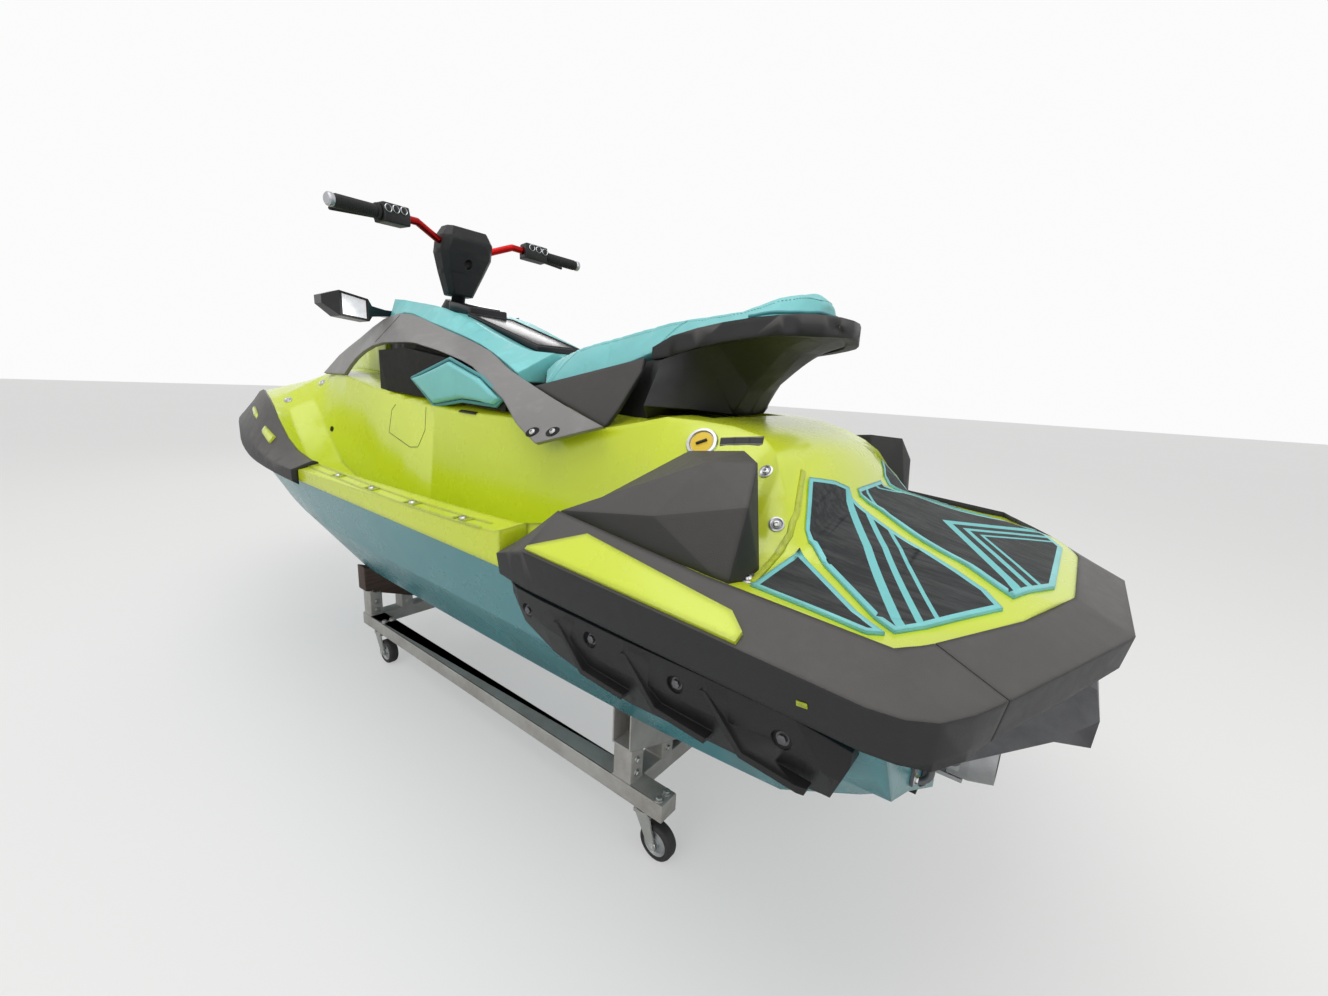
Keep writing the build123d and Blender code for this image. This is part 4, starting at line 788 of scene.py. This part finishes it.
def strip_on(name, line, half_width, height, sink=0.001, steady=False):
    """Low strip that lies on a node along a line; the half width may change from end to end.

    A steady strip keeps one normal, the mean of the surface's along the line.
    """
    start, end = half_width if isinstance(half_width, tuple) else (half_width, half_width)
    mean = sum((on_surface(name, point)[1] for point in line), Vector()).normalized()
    sections = []
    for i, (a, b) in enumerate(zip(line, line[1:] + [None])):
        place, normal = on_surface(name, a)
        if steady:
            normal = mean
        along = (Vector(b) - Vector(a)) if b is not None else (Vector(a) - Vector(line[i - 1]))
        side = along.cross(normal).normalized()
        w = start + (end - start) * i / (len(line) - 1)
        top = place + normal * height
        low = place - normal * sink
        shoulder = side * w * STRIP_SHOULDER
        sections.append([low - side * w, low + side * w, top + shoulder, top - shoulder])
    return lofted(sections)


def strips_on(name, line, half_width, height, **how):
    """The same strip on both sides of the craft."""
    pair = bmesh.new()
    for hand in (line, other_hand(line)):
        strip = strip_on(name, hand, half_width, height, **how)
        gather(pair, strip)
        strip.free()
    return pair


def screw_head(radius):
    """Button head with a socket."""
    return turned([(0, radius * 0.20), (radius * 0.38, radius * 0.20), (radius * 0.42, radius * 0.62),
                   (radius * 0.70, radius * 0.56), (radius * 0.96, radius * 0.25), (radius, 0), (0, 0)], 20)


def hex_bolt(radius):
    """Hex head on a washer."""
    head = prism([(radius * math.cos(math.radians(60 * i)), radius * math.sin(math.radians(60 * i)))
                  for i in range(6)], radius * 0.7, radius * 0.08)
    bmesh.ops.translate(head, vec=(0, 0, radius * 0.16), verts=head.verts[:])
    washer = turned([(0, radius * 0.18), (radius * 1.35, radius * 0.18), (radius * 1.4, 0), (0, 0)], 20)
    gather(head, washer)
    washer.free()
    return head


def washer_dish(radius):
    """Pressed cup washer."""
    return turned([(0, 0.0006), (radius * 0.55, 0.0006), (radius * 0.8, 0.0026), (radius, 0.0018), (radius, 0),
                   (0, 0)], 28)


# Deck screws in cup washers
DECK_SCREWS = [(-1.058, 0.262, 0.826), (-1.112, 0.316, 0.754), (-1.128, 0.428, 0.715)]
BOW_SCREWS = [(0.670, 0.415, 0.848), (0.649, 0.314, 0.909)]


def make_deck_screws():
    """Screws in cup washers on the aft deck and the bow."""
    cups = bmesh.new()
    heads = bmesh.new()
    cup, head = washer_dish(0.0125), screw_head(0.0065)
    for node, places in (("deck", DECK_SCREWS), ("foredeck", BOW_SCREWS)):
        for point in both_hands(places):
            seat_on(cups, cup, node, point)
            seat_on(heads, head, node, point, lift=0.0008)
    finished("deck_cup_washers", cups, "silver")
    finished("deck_screws", heads, "steel")


# Channel along the gunwale: centre line in plan, and the screws along it
GUNWALE = [(0.33, 0.503), (0.133, 0.516), (-0.129, 0.530), (-0.376, 0.540), (-0.601, 0.542), (-0.665, 0.542)]
GUNWALE_SCREWS = [(0.215, 0.511), (0.010, 0.524), (-0.200, 0.534), (-0.400, 0.541), (-0.590, 0.542)]
CHANNEL_HALF = 0.0115


def make_gunwale_channels():
    """Low ridges each side of the gunwale screws, with bridging ribs."""
    ridges = bmesh.new()
    heads = bmesh.new()
    head = screw_head(0.007)
    rib = slab(0.005, 0.020, 0.0045, 0.0012)
    boss = turned([(0, 0.0022), (0.0085, 0.0022), (0.0105, 0), (0, 0)], 20)
    for side in (1, -1):
        for shift in (-CHANNEL_HALF, CHANNEL_HALF):
            line = []
            for point in sampled([(x, y, 0) for x, y in GUNWALE], 0.03):
                place, _ = dropped("deck", point.x, side * (point.y + shift))
                line.append(place)
            ridge = tube(line, 0.0028, 8)
            gather(ridges, ridge)
            ridge.free()
        for x, y in GUNWALE_SCREWS:
            for step in (-0.017, 0.017):
                place, normal = dropped("deck", x + step, side * y)
                set_down(ridges, rib, place - normal * 0.0006, normal)
            place, normal = dropped("deck", x, side * y)
            set_down(ridges, boss, place, normal)
            set_down(heads, head, place + normal * 0.0018, normal)
    finished("gunwale_ridges", ridges, "lime")
    finished("gunwale_screws", heads, "steel")


# Deck filler cap
FILLER_CAP = (-0.918, 0.252, 0.859)


def make_filler_cap():
    """Silver ring, yellow inlay and finger grip."""
    ring = turned([(0, 0.002), (0.0225, 0.002), (0.024, 0.0055), (0.029, 0.005), (0.031, 0.001), (0.031, -0.001),
                   (0, -0.001)], 40)
    inlay = turned([(0, 0.0036), (0.013, 0.0036), (0.0215, 0.0030), (0.0222, 0.0015), (0, 0.0015)], 40)
    grip = prism([(-0.011, -0.0022), (0.011, -0.0022), (0.011, 0.0022), (-0.011, 0.0022)], 0.005, 0.0008)
    for name, form, finish, lift in (("filler_ring", ring, "silver", 0.0), ("filler_inlay", inlay, "yellow", 0.0),
                                     ("filler_grip", grip, "black", 0.0025)):
        target = bmesh.new()
        seat_on(target, form, "deck", FILLER_CAP, lift, turn=0.5)
        form.free()
        finished(name, target, finish)


PLATE_LINE = [(-0.950, 0.240, 0.864), (-0.975, 0.230, 0.866), (-1.000, 0.220, 0.868), (-1.024, 0.212, 0.869)]


def make_deck_plate():
    """Bare plate beside the filler cap, on the port side only."""
    for name, half_width, height, finish in (("plate_margin", 0.011, 0.0010, "grey"),
                                             ("plate_face", 0.0085, 0.0016, "black")):
        finished(name, strip_on("deck", PLATE_LINE, half_width, height, steady=True), finish)


# Service panel gap in the side of the footwell, drain hole, and ridge that bounds the mat bay
PANEL_GAP = [(0.128, 0.312, 0.866), (0.149, 0.314, 0.849), (0.163, 0.319, 0.782), (0.038, 0.321, 0.751),
             (-0.006, 0.320, 0.756), (-0.040, 0.315, 0.806), (-0.041, 0.310, 0.869)]
DRAIN = (0.521, 0.341, 0.761)
MAT_RIDGE = [(-1.099, 0.205, 0.826), (-1.135, 0.314, 0.741), (-1.137, 0.430, 0.697)]
LINE_STEP = 0.02


def lined(name, points, radius):
    """Fine dark gap that follows a node's surface."""
    form = bmesh.new()
    for side in (1, -1):
        line = []
        for point in sampled([(x, side * y, z) for x, y, z in points], LINE_STEP):
            place, normal = on_surface(name, point)
            line.append(place - normal * radius * 0.35)
        gap = tube(line, radius, 6)
        gather(form, gap)
        gap.free()
    return form


def make_deck_lines():
    """Service panel gaps, footwell drains and the ridges that bound the mat bay."""
    finished("panel_gaps", lined("deck", PANEL_GAP, 0.0011), "dark")
    drain = bmesh.new()
    cup = turned([(0, 0.0002), (0.006, 0.0002), (0.009, 0.0012), (0.009, 0), (0, 0)], 20)
    for point in both_hands([DRAIN]):
        seat_on(drain, cup, "deck", point)
    finished("footwell_drains", drain, "dark")
    ridges = strips_on("deck", [tuple(p) for p in sampled(MAT_RIDGE, LINE_STEP)], 0.006, 0.0028)
    finished("mat_bay_ridges", ridges, "lime", "craft", crease=40)


# Knee pad tag, arch bolts and seam
PAD_TAG = [(-0.200, 0.303, 0.868), (-0.236, 0.303, 0.868), (-0.272, 0.303, 0.868)]
ARCH_SEAM = [(0.295, 0.203, 1.137), (0.296, 0.240, 1.100), (0.297, 0.284, 1.047)]
ARCH_BOLTS = [(-0.535, 0.340, 0.848), (-0.592, 0.330, 0.852)]


def make_arch_fittings():
    """Bare tags under the knee pads, joints across the arches and their rear bolts."""
    finished("pad_tags", strips_on("deck", PAD_TAG, 0.006, 0.002), "black")
    finished("arch_seams", lined("side_arches", ARCH_SEAM, 0.0012), "dark")
    cups = bmesh.new()
    bolts = bmesh.new()
    slot = turned([(0, 0.0003), (0.010, 0.0003), (0.013, 0.0012), (0.0135, 0), (0, 0)], 24)
    bmesh.ops.scale(slot, vec=(1.35, 0.9, 1), verts=slot.verts[:])
    head = screw_head(0.0075)
    for point in both_hands(ARCH_BOLTS):
        seat_on(cups, slot, "side_arches", point, turn=math.radians(20))
        seat_on(bolts, head, "side_arches", point, lift=0.0005)
    finished("arch_bolt_recesses", cups, "dark")
    finished("arch_bolts", bolts, "steel")


# Lime insert let into each bow bumper
BOW_INSERT = [(0.800, 0.475, 0.812), (0.720, 0.488, 0.794), (0.640, 0.502, 0.774), (0.560, 0.514, 0.754),
              (0.480, 0.524, 0.735)]
# Bolts in the sponsons' recesses: x, z
SPONSON_BOLTS = [(-0.791, 0.582), (-0.941, 0.582), (-1.099, 0.572), (-1.252, 0.562)]
BUMPER_TAG = (-1.278, 0.562, 0.628)


def make_bumper_fittings():
    """Bow inserts, bolts of the sponsons and small tags on the side bumpers."""
    inserts = strips_on("bow_bumper", BOW_INSERT, (0.006, 0.015), 0.006, sink=0.004, steady=True)
    finished("bow_inserts", inserts, "lime")
    bolts = bmesh.new()
    bolt = hex_bolt(0.0065)
    for x, z in SPONSON_BOLTS:
        for side in (1, -1):
            place, normal = struck("sponsons", (x, side, z), (0, -side, 0))
            if place:
                set_down(bolts, bolt, place, normal)
    finished("sponson_bolts", bolts, "dark_metal")
    tags = bmesh.new()
    tag = slab(0.013, 0.0065, 0.0016, 0.0006)
    for point in both_hands([BUMPER_TAG]):
        seat_on(tags, tag, "side_bumpers", point, turn=math.radians(4))
    finished("bumper_tags", tags, "lime")


# Handlebar: knee and end of each bar, in metres
BAR_KNEE = Vector((0.225, 0.172, 1.408))
BAR_END = Vector((0.176, 0.425, 1.392))
GRIP_START = 0.5
RIB_PITCH = 0.0062


def grip_profile(length):
    """Ribbed rubber grip with an inner flange."""
    profile = [(0.0112, 0), (0.021, 0), (0.0225, 0.0015), (0.0225, 0.005), (0.0165, 0.0075)]
    along = 0.011
    while along < length - 0.008:
        profile += [(0.0168, along), (0.0178, along + 0.0012), (0.0178, along + 0.0036), (0.0168, along + 0.0048)]
        along += RIB_PITCH
    return profile + [(0.0165, length - 0.003), (0.0150, length), (0.0112, length), (0.0112, 0)]


def make_grips():
    """Ribbed grips with end weights, and the switch pods' ringed buttons."""
    rubber = bmesh.new()
    weights = bmesh.new()
    bezels = bmesh.new()
    buttons = bmesh.new()
    for side in (1, -1):
        knee, end = (Vector((p.x, side * p.y, p.z)) for p in (BAR_KNEE, BAR_END))
        start = knee.lerp(end, GRIP_START)
        along = (end - knee).normalized()
        grip = turned(grip_profile((end - start).length), 32)
        set_down(rubber, grip, start, along)
        grip.free()
        weight = turned([(0, 0.0160), (0.0135, 0.0160), (0.0172, 0.0125), (0.0178, 0.004), (0.0160, 0.0005),
                         (0.0, 0.0005)], 28)
        set_down(weights, weight, end, along)
        weight.free()
        bezel = turned([(0.0095, 0), (0.0125, 0), (0.0125, 0.003), (0.0110, 0.0045), (0.0095, 0.003),
                        (0.0095, 0)], 28)
        button = turned([(0, 0.0036), (0.006, 0.0034), (0.0088, 0.0016), (0.0092, 0), (0, 0)], 24)
        for share, lift in ((0.235, 0.005), (0.335, 0.004), (0.43, 0.002)):
            point = knee.lerp(end, share) + Vector((-0.02, 0, 0.006 + lift))
            seat_on(bezels, bezel, "bar_controls", point, lift=-0.0005, scale=0.92)
            seat_on(buttons, button, "bar_controls", point, scale=0.92)
        bezel.free()
        button.free()
    finished("ribbed_grips", rubber, "rubber", "handlebar", ("grips",), crease=40)
    finished("bar_end_weights", weights, "silver", "handlebar", crease=40)
    finished("switch_bezels", bezels, "silver", "handlebar", crease=40)
    finished("switch_buttons", buttons, "gloss", "handlebar", crease=40)


GLASS_FROM_Y = 0.262
LOOKS_AFT = -0.55


def make_mirrors():
    """Mirror pods with a glass let into the face toward the rider."""
    form = flattened(merged("mirrors"))
    form.normal_update()
    faces = [f for f in form.faces if f.normal.x < LOOKS_AFT and abs(f.calc_center_median().y) > GLASS_FROM_Y]
    bmesh.ops.inset_region(form, faces=faces, thickness=0.007, depth=-0.0015, use_even_offset=True,
                           use_boundary=True)
    for face in faces:
        face.material_index = 1
    finished("mirror_pods", form, ("gloss", "glass"), "craft", ("mirrors",), crease=35)


BUNK_WALL = 0.0035
BUNK_BORE = 0.09


def make_bunk():
    """Extruded bunk with hollow ends."""
    form = flattened(merged("rear_bunk"))
    form.normal_update()
    reach = max(v.co.y for v in form.verts)
    ends = [f for f in form.faces if abs(f.normal.y) > 0.9 and abs(f.calc_center_median().y) > reach - 0.01]
    for end in ends:
        bmesh.ops.inset_region(form, faces=[end], thickness=BUNK_WALL, depth=0.0, use_even_offset=True,
                               use_boundary=True)
        bmesh.ops.inset_region(form, faces=[end], thickness=0.0006, depth=-BUNK_BORE, use_boundary=True)
        # Each bore's floor takes the near-black finish: painted shade deep inside the hollow
        end.material_index = 1
    finished("alloy_bunk", form, ("alloy", "dark"), "craft", ("rear_bunk",), crease=25)


# Casters: swivel x at each end, offset of the wheel behind it, side, wheel radius and half width
CASTERS = {"front": 0.281, "rear": -0.885}
CASTER_TRAIL = 0.032
CASTER_Y = 0.320
WHEEL_R = 0.040
WHEEL_HALF = 0.015


def make_wheels():
    """Moulded tread on a ribbed hub, with a sleeved axle and its nuts."""
    for end, x in CASTERS.items():
        for hand, side in (("port", 1), ("starboard", -1)):
            hub_place = Vector((x - CASTER_TRAIL, side * CASTER_Y, WHEEL_R))
            low = hub_place - Vector((0, WHEEL_HALF, 0))
            w = WHEEL_HALF * 2
            tread = turned([(0.028, 0.002), (0.0345, 0.0005), (0.0382, 0.003), (0.040, 0.0075), (0.040, w - 0.0075),
                            (0.0382, w - 0.003), (0.0345, w - 0.0005), (0.028, w - 0.002), (0.028, 0.002)], 48)
            hub = turned([(0.0055, 0.0), (0.0115, 0.0), (0.0125, 0.004), (0.0235, 0.0065), (0.0275, 0.0022),
                          (0.0285, 0.0030), (0.0285, w - 0.003), (0.0275, w - 0.0022), (0.0235, w - 0.0065),
                          (0.0125, w - 0.004), (0.0115, w), (0.0055, w), (0.0055, 0.0)], 48)
            for name, form, finish, hidden in (("tread", tread, "tyre", (f"wheel_{end}_{hand}",)),
                                               ("hub", hub, "casting", ())):
                target = bmesh.new()
                set_down(target, form, low, (0, 1, 0))
                form.free()
                finished(f"{name}_{end}_{hand}", target, finish, f"wheel_{end}_{hand}", hidden, crease=35)
            nuts = bmesh.new()
            nut = hex_bolt(0.0068)
            for way in (1, -1):
                set_down(nuts, nut, hub_place + Vector((0, way * 0.0209, 0)), (0, way, 0))
            nut.free()
            finished(f"axle_nuts_{end}_{hand}", nuts, "steel", f"fork_{end}_{hand}")


# Bolts round each caster plate, from its swivel; through the posts, by place, height and side
PLATE_BOLTS = [(0.046, 0.012), (0.046, -0.012), (-0.038, 0.012), (-0.038, -0.012)]
POST_X = (-0.828, 0.345)
POST_Y = (0.215, 0.320)
POST_BOLT_Z = (0.165, 0.195)
POST_REACH = 0.03


def make_dolly_bolts():
    """Bolts over the casters and through the posts, where the frame has a face for them."""
    bolts = bmesh.new()
    bolt = hex_bolt(0.0075)
    for x, side, (dx, dy) in product(CASTERS.values(), (1, -1), PLATE_BOLTS):
        place, normal = struck("dolly_frame", (x + dx, side * (CASTER_Y + dy), 0.30), (0, 0, -1))
        if place:
            set_down(bolts, bolt, place, normal)
    for x, y, side, z, way in product(POST_X, POST_Y, (1, -1), POST_BOLT_Z, (1, -1)):
        place, normal = struck("dolly_frame", (x + way * 0.3, side * y, z), (-way, 0, 0))
        if place and abs(place.x - x) < POST_REACH and abs(normal.x) > 0.9:
            set_down(bolts, bolt, place, normal, scale=0.85)
    finished("dolly_bolts", bolts, "zinc")


# Stern gear: transom bolts and drain plugs, and the bucket's pivots in x, y and z
TRANSOM_BOLT_X = -1.3641
TRANSOM_BOLTS = [(0.330, 0.478), (0.330, 0.438)]
DRAIN_PLUG = (0.235, 0.385)
BUCKET_PIVOT = (-1.382, 0.0972, 0.345)


def make_stern_fittings():
    """Transom bolts, drain plugs and the bucket's pivot bolts."""
    bolts = bmesh.new()
    bolt = hex_bolt(0.008)
    for y, z in TRANSOM_BOLTS:
        for side in (1, -1):
            set_down(bolts, bolt, (TRANSOM_BOLT_X, side * y, z), (-1, 0, 0), scale=0.75)
    plug = turned([(0, 0.008), (0.011, 0.008), (0.015, 0.006), (0.019, 0.0015), (0.019, 0), (0, 0)], 24)
    plugs = bmesh.new()
    for side in (1, -1):
        place, normal = struck("hull", (-2.0, side * DRAIN_PLUG[0], DRAIN_PLUG[1]), (1, 0, 0))
        if place:
            set_down(plugs, plug, place, normal)
    finished("transom_bolts", bolts, "steel")
    finished("transom_plugs", plugs, "black")
    pivots = bmesh.new()
    for place in both_hands([BUCKET_PIVOT]):
        set_down(pivots, bolt, place, (0, place[1], 0))
    finished("bucket_pivot_bolts", pivots, "steel", "bucket")


# Middle of the instrument glass, and its size
DISPLAY = (0.148, 0.0, 1.181)
DISPLAY_SIZE = (0.052, 0.096, 0.003)


def make_display():
    """Instrument glass on the sloping top of the housing."""
    plate = slab(*DISPLAY_SIZE, 0.001)
    target = bmesh.new()
    seat_on(target, plate, "dash", DISPLAY, lift=-0.0005, turn=math.radians(90))
    plate.free()
    finished("display_glass", target, "glass_dark")


LID_RIM = [(0.098, 0.078, 1.1475), (0.098, -0.078, 1.1475), (-0.228, -0.078, 1.0515), (-0.228, 0.078, 1.0515)]


def make_lid_rim():
    """Raised rim round the console cover."""
    loop = LID_RIM + LID_RIM[:1]
    finished("console_rim", tube(loop, 0.0035, 8), "black", "console_lid")


# Floor, light and camera

FLOOR_SIZE = 60.0
WORLD_LIGHT = 0.62
FLOOR_GLOW = 0.4


def lift_floor(finish):
    """The camera sees the floor nearer to the white backdrop, with its shadow kept."""
    glow = finish.node("ShaderNodeEmission", {}, Color=(0.95, 0.95, 0.95))
    seen = finish.node("ShaderNodeLightPath", {}, output="Is Camera Ray")
    lit = Value(finish, finish.shader.outputs[0])
    mixed = finish.node("ShaderNodeMixShader", {}, seen * FLOOR_GLOW, lit, glow)
    finish.feed(finish.tree.nodes["Material Output"].inputs["Surface"], mixed)


def make_floor():
    """Plain pale floor."""
    form = bmesh.new()
    bmesh.ops.create_grid(form, x_segments=1, y_segments=1, size=FLOOR_SIZE / 2)
    mesh = bpy.data.meshes.new("studio_floor")
    form.to_mesh(mesh)
    form.free()
    floor = linked("studio_floor", mesh)
    finish = Finish("studio floor", (0.80, 0.79, 0.77), 0.6)
    finish.paint(finish.noise(0.6, 2), (0.80, 0.79, 0.77), (0.77, 0.76, 0.745))
    lift_floor(finish)
    mesh.materials.append(finish.material)


def make_world():
    """Plain soft light; the camera, gloss and glass see a white backdrop."""
    world = bpy.data.worlds.new("studio")
    bpy.context.scene.world = world
    world.use_nodes = True
    net = Net(world.node_tree)
    lit = net.tree.nodes["Background"]
    net.feed(lit.inputs["Color"], (0.90, 0.91, 0.92))
    net.feed(lit.inputs["Strength"], WORLD_LIGHT)
    backdrop = net.node("ShaderNodeBackground", {}, Color=(0.97, 0.97, 0.97))
    seen = net.node("ShaderNodeLightPath", {}, output="Is Camera Ray")
    for ray in ("Is Glossy Ray", "Is Transmission Ray"):
        seen = seen.math("MAXIMUM", seen, net.node("ShaderNodeLightPath", {}, output=ray))
    chosen = net.node("ShaderNodeMixShader", {}, seen, Value(net, lit.outputs[0]), backdrop)
    net.feed(net.tree.nodes["World Output"].inputs["Surface"], chosen)


# Soft lamps: name, place, target, size, watts
LAMPS = [
    ("overhead", (-0.6, 0.8, 4.2), (0, 0, 0.6), 3.6, 62),
    ("port_side", (-1.0, 4.4, 2.6), (0, 0, 0.6), 3.0, 40),
    ("stern", (-4.6, 0.6, 2.4), (-0.6, 0, 0.6), 2.6, 30),
    ("bow", (4.2, -2.6, 2.8), (0, 0, 0.7), 2.6, 30),
]


def make_lamps():
    for name, place, target, size, watts in LAMPS:
        lamp = bpy.data.lights.new(name, "AREA")
        lamp.shape = "DISK"
        lamp.size = size
        lamp.energy = watts
        piece = linked(name, lamp)
        look = Vector(target) - Vector(place)
        piece.matrix_world = Matrix.Translation(place) @ look.to_track_quat("-Z", "Y").to_matrix().to_4x4()


# Camera: place in metres, heading from the bow axis, tilt and roll in degrees
CAMERA_PLACE = (-1.47, 1.075, 0.96)
CAMERA_HEADING = -52.37
CAMERA_PITCH = 11.924
CAMERA_ROLL = 2.875
CAMERA_LENS = 14.474
SENSOR_WIDTH = 36.0


def make_camera():
    data = bpy.data.cameras.new("camera")
    data.sensor_width = SENSOR_WIDTH
    data.sensor_fit = "HORIZONTAL"
    data.lens = CAMERA_LENS
    camera = linked("camera", data)
    heading, pitch, roll = (math.radians(a) for a in (CAMERA_HEADING, CAMERA_PITCH, CAMERA_ROLL))
    ahead = Vector((math.cos(pitch) * math.cos(heading), math.cos(pitch) * math.sin(heading), -math.sin(pitch)))
    level = ahead.cross(Vector((0, 0, 1))).normalized()
    above = level.cross(ahead)
    right = level * math.cos(roll) + above * math.sin(roll)
    up = above * math.cos(roll) - level * math.sin(roll)
    turn = Matrix((right, up, -ahead)).transposed()
    camera.matrix_world = Matrix.Translation(CAMERA_PLACE) @ turn.to_4x4()
    bpy.context.scene.camera = camera


# Finish of each node that shows as it was made
PLAIN = {
    "mirrors": "gloss", "handlebar": "red", "grips": "rubber", "jet_pump": "casting", "impeller": "steel",
    "steering_nozzle": "casting", "under_fittings": "black", "engine": "casting", "tow_eyes": "dark_metal",
    "rear_bunk": "alloy",
}


def dress_plain_nodes():
    """Gives each CAD node its finish."""
    for name, piece in nodes.items():
        kind = "zinc" if name.startswith("fork") else "tyre" if name.startswith("wheel") else PLAIN.get(name, "black")
        piece.data.materials.clear()
        piece.data.materials.append(finishes[kind])


dress_plain_nodes()
make_mouldings()
make_deck()
make_seat()
make_knee_pads()
make_mats()
make_deck_screws()
make_gunwale_channels()
make_filler_cap()
make_deck_plate()
make_deck_lines()
make_arch_fittings()
make_bumper_fittings()
make_grips()
make_mirrors()
make_bunk()
make_wheels()
make_dolly_bolts()
make_stern_fittings()
make_display()
make_lid_rim()
make_floor()
make_world()
make_lamps()
make_camera()
bpy.context.scene.view_settings.view_transform = "Standard"
